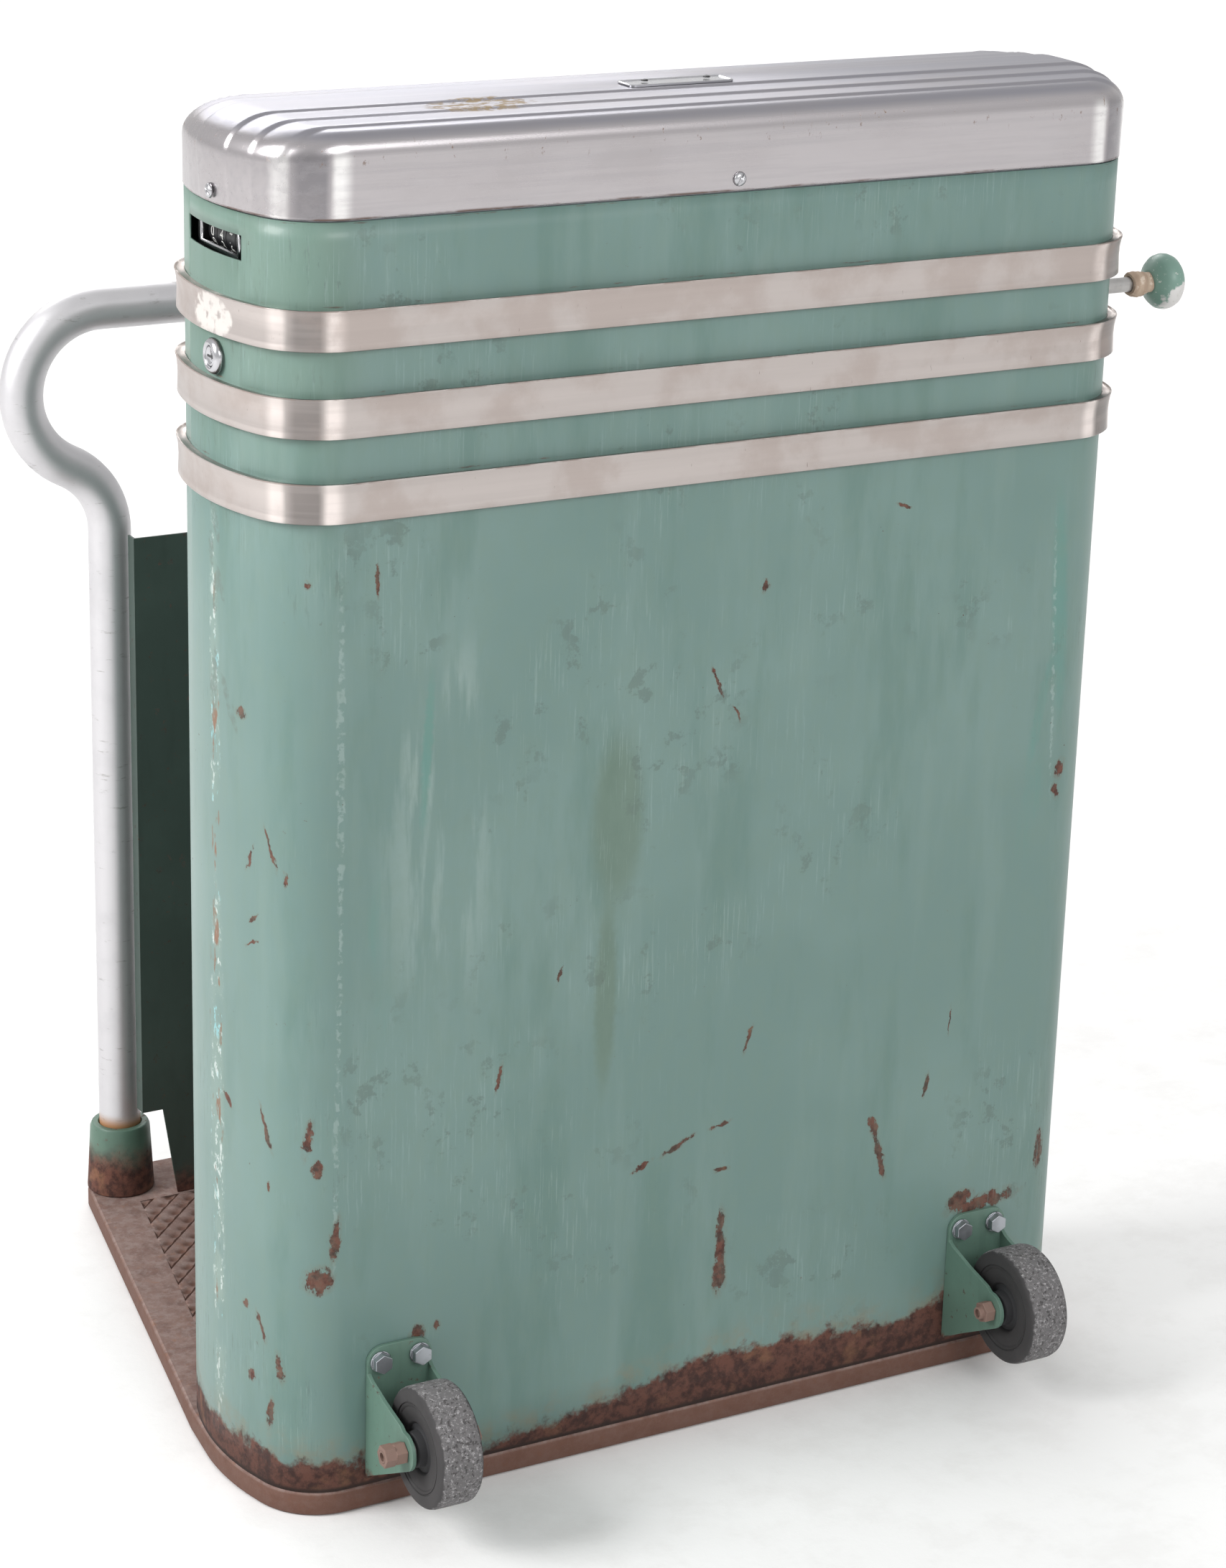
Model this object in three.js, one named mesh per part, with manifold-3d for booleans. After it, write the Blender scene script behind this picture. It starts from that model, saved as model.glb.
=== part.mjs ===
// Portable passenger turnstile in millimetres, +Z up, standing on z = 0.
// X runs along the cabinet, -Y is its outer face with the transport wheels,
// and +Y is the passage between the cabinet and the guide rail.
import * as THREE from 'three';
import { mergeVertices } from 'three/addons/utils/BufferGeometryUtils.js';
import Module from 'manifold-3d';

const wasm = await Module();
wasm.setup();

// ---------------------------------------------------------------- driving dimensions
const DEG = Math.PI / 180;
const GAP = 0.3; // clearance between touching pieces

const cabinet = {
  length: 679,
  width: 191,
  cornerRadius: 50,
  endBulge: 57, // from the straight side to the tip of the bowed end
  seam: 920, // joint between the cabinet wall and the cap
  wall: 1.6,
};
const base = {
  thickness: 18,
  lip: 1.5, // how far the casting stands out past the cabinet
  chamfer: 1.2,
  taperStart: 60,
  rearY: 471,
  rearHalf: 266,
  rearRadius: 36,
  treadDepth: 2,
};
const tread = {
  frontY: 101,
  rearY: 402,
  rearHalf: 236,
  taper: 0.2,
  pitch: 22,
  ribWidth: 12.5,
  firstRib: -221,
  lastRib: 720,
};
const cap = {
  bottom: 921.2,
  skirt: 961,
  endDrop: 6, // how much lower the rounding starts at the ends
  rearDrop: 10, // and toward the passage
  top: 976,
  frontRadius: 13,
  rearRadius: 45,
  endRadius: 36,
  step: 1.6,
  proud: 0.6,
};
const capTerraces = [67.5, 44.5, 20.5]; // half widths of the raised panels, outermost first
const endFittingsY = -10.5; // panels, end screws and lock sit nearer the outer face than the middle
const bandBottoms = { lower: 725, middle: 781, upper: 838 };
const bandHeight = 27;
const rail = { y: 439, postX: 238, radius: 16.7, bore: 14, top: 754, bendX: 243.5, bend: 64, returnBend: 60 };
const socket = { baseRadius: 27.5, topRadius: 24, height: 58 };
const shield = {
  y: 404,
  half: 232,
  top: 579,
  shoulder: 95,
  shoulderHalf: 214,
  footHalf: 202,
  sheet: 1.6,
  fold: 12,
};
const caster = {
  x: 243,
  axleY: -158,
  axleZ: 76,
  radius: 43.5,
  halfWidth: 16,
  earHalf: 25,
  sheet: 3,
  top: 127,
  foot: 25,
  boltSpread: 15.2,
  boltZ: 115.5,
};
const head = { y: 134.5, z: 812.5, tilt: 45, half: 70, wall: 6 }; // centre of the sloping face
const arm = { radius: 12.7, start: 22, length: 250, rootDepth: 22 };
const register = { x: -314, z: 896, firstY: 20.8, pitch: 14.6, wheelRadius: 13, wheelCount: 4 };
const lock = { y: -12, z: 821.5, flangeRadius: 12, barrelRadius: 9.3, plugRadius: 6.5 };
const pull = { y: -24, z: 814.5, rodRadius: 5.5, innerX: 75, knobX: 396, knobRadius: 20.5, knobDepth: 24 };

const halfLength = cabinet.length / 2;
const halfWidth = cabinet.width / 2;
const floorTop = base.thickness + GAP;

// ---------------------------------------------------------------- materials
const surface = (color, roughness, metalness) =>
  new THREE.MeshStandardMaterial({ color, roughness, metalness });
const greenPaint = surface(0x78998c, 0.5, 0.1);
const darkGreenPaint = surface(0x355f50, 0.5, 0.1);
const castIron = surface(0x6a4b3c, 0.85, 0.3);
const stainless = surface(0xbfbfc1, 0.3, 0.95);
const chrome = surface(0xdfe1e4, 0.12, 1);
const railMetal = surface(0xaab0b4, 0.4, 0.9);
const steel = surface(0x8d8f90, 0.45, 0.85);
const zincPlate = surface(0xa9adae, 0.5, 0.8);
const rustySteel = surface(0x7d5a4c, 0.75, 0.5);
const rubber = surface(0x3f4143, 0.85, 0);
const bronze = surface(0x9a7440, 0.4, 0.9);
const blackEnamel = surface(0x1b1c1d, 0.45, 0.1);
const castAluminium = surface(0x9a9d9f, 0.5, 0.8);

// ---------------------------------------------------------------- scene graph
const turnstile = new THREE.Group();

function place(name, geometry, material, parent = turnstile) {
  const mesh = new THREE.Mesh(geometry, material);
  mesh.name = name;
  parent.add(mesh);
}

// ---------------------------------------------------------------- solid helpers
// Position-only, indexed copy of a geometry with shared vertices merged.
function bare(geometry) {
  const copy = geometry.clone();
  copy.deleteAttribute('normal');
  copy.deleteAttribute('uv');
  const merged = mergeVertices(copy, 1e-4);
  const corners = merged.index.array;
  const kept = [];
  for (let i = 0; i < corners.length; i += 3) {
    const [a, b, c] = [corners[i], corners[i + 1], corners[i + 2]];
    if (a !== b && b !== c && c !== a) kept.push(a, b, c);
  }
  merged.setIndex(kept);
  return merged;
}

function solidOf(geometry) {
  const shape = bare(geometry);
  return new wasm.Manifold(new wasm.Mesh({
    numProp: 3,
    vertProperties: new Float32Array(shape.attributes.position.array),
    triVerts: new Uint32Array(shape.index.array),
  }));
}

function geometryOf(solid) {
  const { vertProperties, triVerts } = solid.getMesh();
  const geometry = new THREE.BufferGeometry();
  geometry.setAttribute('position', new THREE.BufferAttribute(new Float32Array(vertProperties), 3));
  geometry.setIndex(Array.from(triVerts));
  geometry.computeVertexNormals();
  return geometry;
}

const cut = (body, ...tools) =>
  geometryOf(tools.reduce((left, tool) => left.subtract(solidOf(tool)), solidOf(body)));
const join = (...bodies) => geometryOf(bodies.map(solidOf).reduce((all, next) => all.add(next)));
const common = (first, second) => geometryOf(solidOf(first).intersect(solidOf(second)));

// A sketch of [x, y] points, drawn upwards from z0 to z1, with optional holes.
function prism(points, z0, z1, holes = []) {
  const shape = new THREE.Shape(points.map(([x, y]) => new THREE.Vector2(x, y)));
  for (const hole of holes) shape.holes.push(new THREE.Path(hole.map(([x, y]) => new THREE.Vector2(x, y))));
  const geometry = new THREE.ExtrudeGeometry(shape, { depth: z1 - z0, bevelEnabled: false });
  return geometry.translate(0, 0, z0);
}

function box(x0, x1, y0, y1, z0, z1) {
  const geometry = new THREE.BoxGeometry(x1 - x0, y1 - y0, z1 - z0);
  return geometry.translate((x0 + x1) / 2, (y0 + y1) / 2, (z0 + z1) / 2);
}

function rod(radius, z0, z1, sides = 16) {
  const geometry = new THREE.CylinderGeometry(radius, radius, z1 - z0, sides);
  return geometry.rotateX(90 * DEG).translate(0, 0, (z0 + z1) / 2);
}

// Profile of [radius, z] points turned about Z: outer side upwards, or a closed ring.
function turned(profile, steps = 24) {
  const geometry = new THREE.LatheGeometry(profile.map(([r, z]) => new THREE.Vector2(r, z)), steps);
  return geometry.rotateX(90 * DEG);
}

function tube(outer, inner, z0, z1, steps = 16) {
  return turned([[inner, z0], [outer, z0], [outer, z1], [inner, z1], [inner, z0]], steps);
}

// Turn a piece built along +Z so that it points along another axis.
const towardX = (geometry) => geometry.rotateY(90 * DEG);
const towardMinusX = (geometry) => geometry.rotateY(-90 * DEG);
const towardMinusY = (geometry) => geometry.rotateX(90 * DEG);
const towardY = (geometry) => geometry.rotateX(-90 * DEG);
// A sketch of [y, z] points that is drawn along +X.
const yzToX = new THREE.Matrix4().set(0, 0, 1, 0, 1, 0, 0, 0, 0, 1, 0, 0, 0, 0, 0, 1);
const prismAlongX = (points, x0, x1, holes) => prism(points, x0, x1, holes).applyMatrix4(yzToX);
// A sketch of [x, z] points with its back at y and its thickness toward -Y.
const prismAlongMinusY = (points, y, depth, holes) =>
  prism(points, 0, depth, holes).rotateX(90 * DEG).translate(0, y, 0);

function arc(cx, cy, radius, from, to, steps) {
  return Array.from({ length: steps + 1 }, (_, i) => {
    const angle = from + ((to - from) * i) / steps;
    return [cx + radius * Math.cos(angle), cy + radius * Math.sin(angle)];
  });
}

const circle = (cx, cy, radius, steps = 16) => arc(cx, cy, radius, 0, 2 * Math.PI, steps).slice(0, -1);

// Closed skin over rings of equal length; open stacks get flat ends, ring stacks close on themselves.
function loft(rings, closed = false) {
  const size = rings[0].length;
  const positions = rings.flat(2);
  const index = [];
  const spans = closed ? rings.length : rings.length - 1;
  for (let k = 0; k < spans; k++) {
    const low = k * size;
    const high = ((k + 1) % rings.length) * size;
    for (let i = 0; i < size; i++) {
      const next = (i + 1) % size;
      index.push(low + i, low + next, high + next, low + i, high + next, high + i);
    }
  }
  if (!closed) {
    const last = (rings.length - 1) * size;
    for (let i = 1; i < size - 1; i++) {
      index.push(0, i + 1, i);
      index.push(last, last + i, last + i + 1);
    }
  }
  const geometry = new THREE.BufferGeometry();
  geometry.setAttribute('position', new THREE.Float32BufferAttribute(positions, 3));
  geometry.setIndex(index);
  geometry.computeVertexNormals();
  return geometry;
}

// ---------------------------------------------------------------- shared fasteners, head up, seat at z = 0
function slottedScrew(headRadius, headHeight, shankRadius, shankLength, slotAngle = 0) {
  const profile = [[0, -shankLength], [shankRadius, -shankLength], [shankRadius, 0], [headRadius, 0],
    [headRadius * 0.86, headHeight * 0.6], [headRadius * 0.5, headHeight * 0.93], [0, headHeight]];
  const slotHalf = headRadius * 0.13;
  const slot = box(-headRadius - 1, headRadius + 1, -slotHalf, slotHalf, headHeight * 0.55, headHeight + 1);
  return cut(turned(profile, 16), slot.rotateZ(slotAngle * DEG));
}

function hexPoints(acrossFlats, turn = 0) {
  const radius = acrossFlats / 2 / Math.cos(30 * DEG);
  return arc(0, 0, radius, turn * DEG, turn * DEG + 2 * Math.PI, 6).slice(0, -1);
}

const hexBlock = (acrossFlats, z0, z1, turn = 0) => prism(hexPoints(acrossFlats, turn), z0, z1);

// ---------------------------------------------------------------- plan outline of the cabinet
// Straight long sides, round corners and gently bowed ends that meet the corners without a kink.
const cornerX = halfLength - cabinet.endBulge;
const cornerY = halfWidth - cabinet.cornerRadius;
const bowRadius = (cabinet.endBulge ** 2 + cornerY ** 2 - cabinet.cornerRadius ** 2)
  / (2 * (cabinet.endBulge - cabinet.cornerRadius));
const bowX = halfLength - bowRadius;
const bowAngle = Math.atan2(cornerY, cornerX - bowX);

function endOutline(offset, cornerSteps = 7, bowSteps = 8) {
  const corner = cabinet.cornerRadius + offset;
  const first = arc(cornerX, -cornerY, corner, -90 * DEG, -bowAngle, cornerSteps);
  const bow = arc(bowX, 0, bowRadius + offset, -bowAngle, bowAngle, bowSteps);
  const second = arc(cornerX, cornerY, corner, bowAngle, 90 * DEG, cornerSteps);
  return [...first, ...bow.slice(1), ...second.slice(1)];
}

function outline(offset, cornerSteps, bowSteps) {
  const right = endOutline(offset, cornerSteps, bowSteps);
  return [...right, ...right.map(([x, y]) => [-x, -y])];
}

const atHeight = (points, z) => points.map(([x, y]) => [x, y, z]);
const ringWall = (outer, inner, z0, z1, cornerSteps, bowSteps) =>
  prism(outline(outer, cornerSteps, bowSteps), z0, z1, [outline(inner, cornerSteps, bowSteps)]);
// X of the bowed end's outer face at a given y.
const endX = (y) => bowX + Math.sqrt(bowRadius ** 2 - y ** 2);

// ---------------------------------------------------------------- base casting
function baseOutline() {
  const front = endOutline(base.lip).filter(([, y]) => y < base.taperStart / 2);
  const run = base.rearY - base.rearRadius;
  const edgeTurn = Math.atan2(halfLength - 4 - base.rearHalf, run - base.taperStart);
  const corner = arc(base.rearHalf - base.rearRadius, run, base.rearRadius, edgeTurn, 90 * DEG, 6);
  const right = [...front, [halfLength - 4, base.taperStart], ...corner];
  return [...right, ...right.map(([x, y]) => [-x, y]).reverse()];
}

function treadOutline() {
  const frontHalf = tread.rearHalf + tread.taper * (tread.rearY - tread.frontY);
  return [[-frontHalf, tread.frontY], [frontHalf, tread.frontY], [tread.rearHalf, tread.rearY],
    [-tread.rearHalf, tread.rearY]];
}

// Diagonal grooves between the raised ribs of the tread, as one tool that cuts the casting.
function treadGrooves() {
  const field = prism(treadOutline(), base.thickness - base.treadDepth, base.thickness + 5);
  const reach = 700;
  const ribs = [];
  for (let y = tread.firstRib; y <= tread.lastRib; y += tread.pitch) {
    const rib = box(-reach, reach, -tread.ribWidth / 2, tread.ribWidth / 2, 0, 40);
    ribs.push(rib.rotateZ(45 * DEG).translate(0, y, 0));
  }
  return cut(field, ...ribs);
}

function basePlate() {
  const shape = new THREE.Shape(baseOutline().map(([x, y]) => new THREE.Vector2(x, y)));
  const slab = new THREE.ExtrudeGeometry(shape, {
    depth: base.thickness - 2 * base.chamfer,
    bevelThickness: base.chamfer,
    bevelSize: base.chamfer,
    bevelOffset: -base.chamfer,
    bevelSegments: 1,
  }).translate(0, 0, base.chamfer);
  return cut(slab, treadGrooves());
}

place('base_plate', basePlate(), castIron);

// ---------------------------------------------------------------- cabinet wall and its inner frames
const window = { low: -43.5, high: 38.5, bottom: 889, top: 905.5 };
const headOpening = { half: 60, bottom: 794, top: 902 };
const capScrewZ = 929;

function cabinetShell() {
  const wall = ringWall(0, -cabinet.wall, floorTop, cabinet.seam);
  const through = 12;
  const endWindow = box(-halfLength - through, -halfLength + 25, window.low, window.high, window.bottom,
    window.top);
  const lockHole = towardX(rod(lock.barrelRadius + GAP, -through, through));
  lockHole.translate(-halfLength, lock.y, lock.z);
  const rodHole = towardX(rod(pull.rodRadius + 0.8, -through, through));
  rodHole.translate(endX(pull.y), pull.y, pull.z);
  const { half, bottom, top } = headOpening;
  const headHole = box(-half, half, halfWidth - through, halfWidth + through, bottom, top);
  const boltHoles = [];
  for (const side of [-1, 1]) {
    for (const spread of [-caster.boltSpread, caster.boltSpread]) {
      const hole = towardY(rod(3.5, -through, through, 12));
      boltHoles.push(hole.translate(side * caster.x + spread, -halfWidth, caster.boltZ));
    }
  }
  return cut(wall, endWindow, lockHole, rodHole, headHole, ...boltHoles);
}

function neckRing() {
  const ring = ringWall(-cabinet.wall - 0.5, -cabinet.wall - 2, 909, 938, 5, 6);
  const across = towardY(rod(2.7, -halfWidth - 9, halfWidth + 9, 8)).translate(0, 0, capScrewZ);
  const along = towardX(rod(2.7, -halfLength - 9, halfLength + 9, 8)).translate(0, endFittingsY, capScrewZ);
  return cut(ring, across, along);
}

function footFrame() {
  const upright = -cabinet.wall - 0.5;
  const section = [[upright - 22, floorTop], [upright, floorTop], [upright, 50], [upright - 2.5, 50],
    [upright - 2.5, floorTop + 3], [upright - 22, floorTop + 3]];
  return loft(section.map(([offset, z]) => atHeight(outline(offset, 4, 5), z)), true);
}

place('cabinet_shell', cabinetShell(), greenPaint);
place('cap_neck_ring', neckRing(), zincPlate);
place('foot_frame', footFrame(), rustySteel);

// ---------------------------------------------------------------- stainless cap
// One skin of the cap: raised panels reach further out at the ends and higher at the top.
function capSkin(offset, level) {
  const rise = cap.step * level;
  const rings = [
    capRing(offset, 0.2 * level, 0, cap.bottom, 0),
    capRing(offset, 1.1 * level, 0, cap.skirt, 1),
  ];
  for (const angle of [18, 36, 54, 72, 90]) {
    const up = Math.sin(angle * DEG);
    const height = cap.skirt + (cap.top + rise + offset - cap.proud - cap.skirt) * up;
    rings.push(capRing(offset, 1.1 * level, 1 - Math.cos(angle * DEG), height, 1 - up));
  }
  return loft(rings);
}

function capRing(offset, endReach, inset, z, drop) {
  return outline(offset).map(([x, y]) => {
    const endShare = Math.max(0, Math.abs(x) - cornerX) / cabinet.endBulge;
    const sideShare = Math.abs(y) / halfWidth;
    const sideRadius = y > 0 ? cap.rearRadius : cap.frontRadius;
    const fold = z - drop * Math.max(cap.rearDrop * (y / halfWidth), cap.endDrop * endShare);
    const inX = (cap.endRadius * inset - endReach) * endShare;
    const inY = sideRadius * inset * sideShare;
    return [x - Math.sign(x) * inX, y - Math.sign(y) * inY, fold];
  });
}

function capShell() {
  const terraces = capTerraces.map((half, i) =>
    common(capSkin(cap.proud, i + 1), box(-400, 400, endFittingsY - half, endFittingsY + half, 900, 1000)));
  const outer = join(capSkin(cap.proud, 0), ...terraces);
  const inside = cap.proud - cabinet.wall;
  const cavity = join(capSkin(inside, 0), prism(outline(inside), cap.bottom - 6, cap.bottom + 4));
  const across = towardY(rod(2.5, -halfWidth - 9, halfWidth + 9, 10)).translate(0, 0, capScrewZ);
  const along = towardX(rod(2.5, -halfLength - 9, halfLength + 9, 10)).translate(0, endFittingsY, capScrewZ);
  return cut(outer, cavity, across, along);
}

const capScrew = (angle) => slottedScrew(5, 2.4, 2.1, 9, angle);
const capScrewY = halfWidth + cap.proud + GAP;
const capScrewX = halfLength + cap.proud + 2; // clear of the raised end panel

const plateZ = cap.top + cap.step * capTerraces.length + GAP;
const plate = { x: -5, y: -16, halfLength: 40, halfWidth: 11, corner: 10, thickness: 1.6, screwSpread: 24 };

function nameplate() {
  const { halfLength: hx, halfWidth: hy, corner: c } = plate;
  const points = [
    ...arc(hx - c, -hy + c, c, -90 * DEG, 0, 4), ...arc(hx - c, hy - c, c, 0, 90 * DEG, 4),
    ...arc(-hx + c, hy - c, c, 90 * DEG, 180 * DEG, 4), ...arc(-hx + c, -hy + c, c, 180 * DEG, 270 * DEG, 4),
  ];
  return prism(points, 0, plate.thickness).translate(plate.x, plate.y, plateZ);
}

place('cap', capShell(), stainless);
place('cap_screw_front', towardMinusY(capScrew(58)).translate(0, -capScrewY, capScrewZ), chrome);
place('cap_screw_rear', towardY(capScrew(15)).translate(0, capScrewY, capScrewZ), chrome);
place('cap_screw_left', towardMinusX(capScrew(65)).translate(-capScrewX, endFittingsY, capScrewZ), chrome);
place('cap_screw_right', towardX(capScrew(-30)).translate(capScrewX, endFittingsY, capScrewZ), chrome);
place('nameplate', nameplate(), chrome);
[-1, 1].forEach((side, i) => {
  const rivet = turned([[0, 0], [2.6, 0], [2.2, 1], [0, 1.6]], 12);
  const x = plate.x + side * plate.screwSpread;
  const rivetZ = plateZ + plate.thickness + GAP;
  place(`nameplate_rivet_${i + 1}`, rivet.translate(x, plate.y, rivetZ), blackEnamel);
});

// ---------------------------------------------------------------- stainless bands
// Pressed channel with a hollow face and a flared upper lip, as [offset from the wall, height].
const bandSection = [[GAP, 0], [5.8, 0], [5.2, 13], [6.9, 25.6], [6.2, bandHeight], [GAP, 26]];

function band(bottom, interrupted) {
  const ring = loft(bandSection.map(([offset, z]) => atHeight(outline(offset), bottom + z)), true);
  if (!interrupted) return ring;
  return cut(ring, box(-81, 81, halfWidth - 5, halfWidth + 20, bottom - 5, bottom + bandHeight + 5));
}

place('band_upper', band(bandBottoms.upper, true), stainless);
place('band_middle', band(bandBottoms.middle, true), stainless);
place('band_lower', band(bandBottoms.lower, false), stainless);

// ---------------------------------------------------------------- guide rail, sockets and shield
// Centre line of half the rail as [x, z, direction of travel], from the middle down to the socket.
function railStations() {
  const turnX = rail.returnBend - (rail.bendX - rail.postX);
  const reach = rail.bend + rail.returnBend;
  const drop = Math.sqrt(reach ** 2 - turnX ** 2);
  const meet = Math.atan2(drop, turnX);
  const loopZ = rail.top - rail.bend;
  const stations = [];
  const loopSteps = 11;
  for (let i = 0; i <= loopSteps; i++) {
    const angle = 90 * DEG + ((90 * DEG + meet) * i) / loopSteps;
    const [x, z] = [Math.cos(angle), Math.sin(angle)];
    stations.push([-rail.bendX + rail.bend * x, loopZ + rail.bend * z, angle]);
  }
  const returnSteps = 4;
  for (let i = 1; i <= returnSteps; i++) {
    const angle = meet * (1 - i / returnSteps);
    const x = -rail.postX - rail.returnBend + rail.returnBend * Math.cos(angle);
    stations.push([x, loopZ - drop + rail.returnBend * Math.sin(angle), angle + 180 * DEG]);
  }
  stations.push([-rail.postX, base.thickness + 2, 180 * DEG]);
  return stations;
}

function railSolid(radius, sides, overrun) {
  const left = railStations();
  const end = left[left.length - 1];
  left[left.length - 1] = [end[0], end[1] - overrun, end[2]];
  const right = left.map(([x, z, angle]) => [-x, z, 180 * DEG - angle]).reverse();
  const rings = [...right, ...left].map(([x, z, angle]) =>
    Array.from({ length: sides }, (_, i) => {
      const around = (2 * Math.PI * i) / sides;
      const out = radius * Math.cos(around);
      return [x + out * Math.cos(angle), rail.y + radius * Math.sin(around), z + out * Math.sin(angle)];
    }));
  return loft(rings);
}

const socketProfile = [
  [rail.radius + 0.6, 0], [socket.baseRadius, 0], [socket.baseRadius - 0.6, 8], [socket.topRadius + 0.4, 54],
  [socket.topRadius - 1.2, socket.height], [rail.radius + 0.6, socket.height], [rail.radius + 0.6, 0],
];

function shieldPanel() {
  const { half, top, shoulder, shoulderHalf, footHalf, sheet, fold, y } = shield;
  const foot = floorTop;
  const face = prismAlongMinusY([
    [-half, top], [-half, shoulder], [-shoulderHalf, shoulder], [-footHalf, foot],
    [footHalf, foot], [shoulderHalf, shoulder], [half, shoulder], [half, top],
  ], y + sheet, sheet);
  const sides = [-1, 1].map((side) => {
    const outer = side * half;
    const inner = side * (half - sheet);
    return box(Math.min(outer, inner), Math.max(outer, inner), y, y + fold, shoulder, top);
  });
  const ledge = box(-footHalf + 6, footHalf - 6, y, y + 18, foot, foot + sheet);
  return join(face, ...sides, ledge);
}

place('rail_tube', cut(railSolid(rail.radius, 16, 0), railSolid(rail.bore, 6, 5)), railMetal);
place('socket_left', turned(socketProfile, 28).translate(-rail.postX, rail.y, floorTop), darkGreenPaint);
place('socket_right', turned(socketProfile, 28).translate(rail.postX, rail.y, floorTop), darkGreenPaint);
place('shield_panel', shieldPanel(), darkGreenPaint);

// ---------------------------------------------------------------- transport wheels
function casterBracket() {
  const { earHalf, sheet, top, foot, axleY, axleZ } = caster;
  const wallY = -halfWidth - GAP;
  const round = 12;
  const back = prismAlongMinusY([[-earHalf, foot], [earHalf, foot],
    ...arc(earHalf - round, top - round, round, 0, 90 * DEG, 5),
    ...arc(-earHalf + round, top - round, round, 90 * DEG, 180 * DEG, 5)], wallY, sheet);
  const ear = [[wallY, foot], [wallY, 109], [wallY - sheet - 5, 104], [-125, 98], [-151, 92.5],
    ...arc(axleY, axleZ, 14, 80 * DEG, 235 * DEG, 8)];
  const axleHole = circle(axleY, axleZ, 5.1, 12);
  const ears = [-1, 1].map((side) => {
    const faces = [side * earHalf, side * (earHalf - sheet)].sort((a, b) => a - b);
    return prismAlongX(ear, faces[0], faces[1], [axleHole]);
  });
  const holes = [-1, 1].map((side) =>
    towardY(rod(3.5, -10, 10, 12)).translate(side * caster.boltSpread, wallY, caster.boltZ));
  return cut(join(back, ...ears), ...holes);
}

// Bolt through bracket and cabinet wall with its washer and inner nut, one solid, pointing out along +Z.
function bracketBolt(turn) {
  const inside = -caster.sheet - cabinet.wall - 3 * GAP;
  return join(rod(3.1, inside - 7, 3, 12), rod(8, 0, 1.3, 20), hexBlock(12.7, 1.3, 6.7, turn),
    hexBlock(11, inside - 5, inside));
}

// Moulded wheel as [radius, distance along the axle]: tread, grooved face, dished web and hub.
const wheelFace = [[8.3, 19.2], [12.5, 19.2], [15, 12], [28.6, 12.4], [30, 15.2], [39.5, caster.halfWidth],
  [caster.radius, caster.halfWidth - 3.4]];
const wheelProfile = [...wheelFace.map(([r, x]) => [r, -x]), ...wheelFace.slice().reverse(), [8.3, -19.2]];

// Axle bolt along +X with its nuts, one solid: head on the right ear, nuts on the left ear.
function axleBolt(tail, nutCount) {
  const seat = caster.earHalf + GAP;
  const nuts = Array.from({ length: nutCount }, (_, i) =>
    hexBlock(14.3, -seat - 8.2 * (i + 1), -seat - 8.2 * i, 8 + 22 * i));
  const solid = join(rod(4.7, -tail, seat + 1, 14), hexBlock(14.3, seat, seat + 6, 12), ...nuts);
  const socketHole = rod(3.2, -tail - 5, -tail + 3, 12);
  return towardX(cut(solid, socketHole));
}

const onAxle = (geometry, side) => geometry.translate(side * caster.x, caster.axleY, caster.axleZ);
for (const [name, side, tail, nutCount] of [['left', -1, 42, 2], ['right', 1, 37, 1]]) {
  place(`wheel_bracket_${name}`, casterBracket().translate(side * caster.x, 0, 0), greenPaint);
  [-1, 1].forEach((half, i) => {
    const x = side * caster.x + half * caster.boltSpread;
    const seatY = -halfWidth - 2 * GAP - caster.sheet;
    const bolt = towardMinusY(bracketBolt(30 * half)).translate(x, seatY, caster.boltZ);
    place(`bracket_bolt_${name}_${i + 1}`, bolt, zincPlate);
  });
  place(`wheel_${name}`, onAxle(towardX(turned(wheelProfile, 26)), side), rubber);
  place(`wheel_bush_${name}`, onAxle(towardX(tube(8, 5, -21.4, 21.4, 16)), side), steel);
  place(`axle_bolt_${name}`, onAxle(axleBolt(tail, nutCount), side), rustySteel);
}

// ---------------------------------------------------------------- rotor head on the passage side
// Everything on the sloping axis hangs in one tilted group: local +Z points back into the cabinet.
const tilted = new THREE.Group();
tilted.position.set(0, head.y, head.z);
tilted.rotation.x = head.tilt * DEG;
turnstile.add(tilted);

function headHousing() {
  const wallY = halfWidth + GAP;
  const slope = (y) => head.z + (y - head.y);
  const outer = [[wallY, slope(wallY)], [172, slope(172)], [172, 866], [150, 888], [wallY, 905]];
  const sink = head.wall * Math.SQRT2;
  const inner = [[wallY - 1, slope(wallY - 1) + sink], [166, slope(166) + sink], [166, 863], [147, 882],
    [wallY - 1, 897]];
  const flange = box(-80, 80, wallY, wallY + 3, 765, 908);
  const { half, bottom, top } = headOpening;
  const shell = join(prismAlongX(outer, -head.half, head.half), flange);
  const bore = rod(16.3, -20, 25, 20).rotateX(head.tilt * DEG).translate(0, head.y, head.z);
  const hollow = prismAlongX(inner, -head.half + head.wall, head.half - head.wall);
  return cut(shell, hollow, box(-half, half, wallY - 1, wallY + 4, bottom, top), bore);
}

const armSpots = [90, 210, 330]; // around the rotor axis, the first one level across the passage

// Place a piece built along +Z on the arm direction of one spoke of the tilted rotor.
function onArm(geometry, spoke) {
  const leaning = geometry.rotateX((180 - head.tilt) * DEG);
  return leaning.rotateZ((spoke + 90) * DEG).translate(0, 0, -arm.rootDepth);
}

function rotorHub() {
  const dome = turned([[0, -56], [20, -53], [34, -43], [41, -28], [41, -7], [37, -1], [0, -1]], 28);
  const sockets = armSpots.map((spoke) => onArm(rod(arm.radius + GAP, arm.start - 2, 90, 16), spoke));
  return cut(dome, rod(10 + GAP, -18, 5, 16), ...sockets);
}

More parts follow.
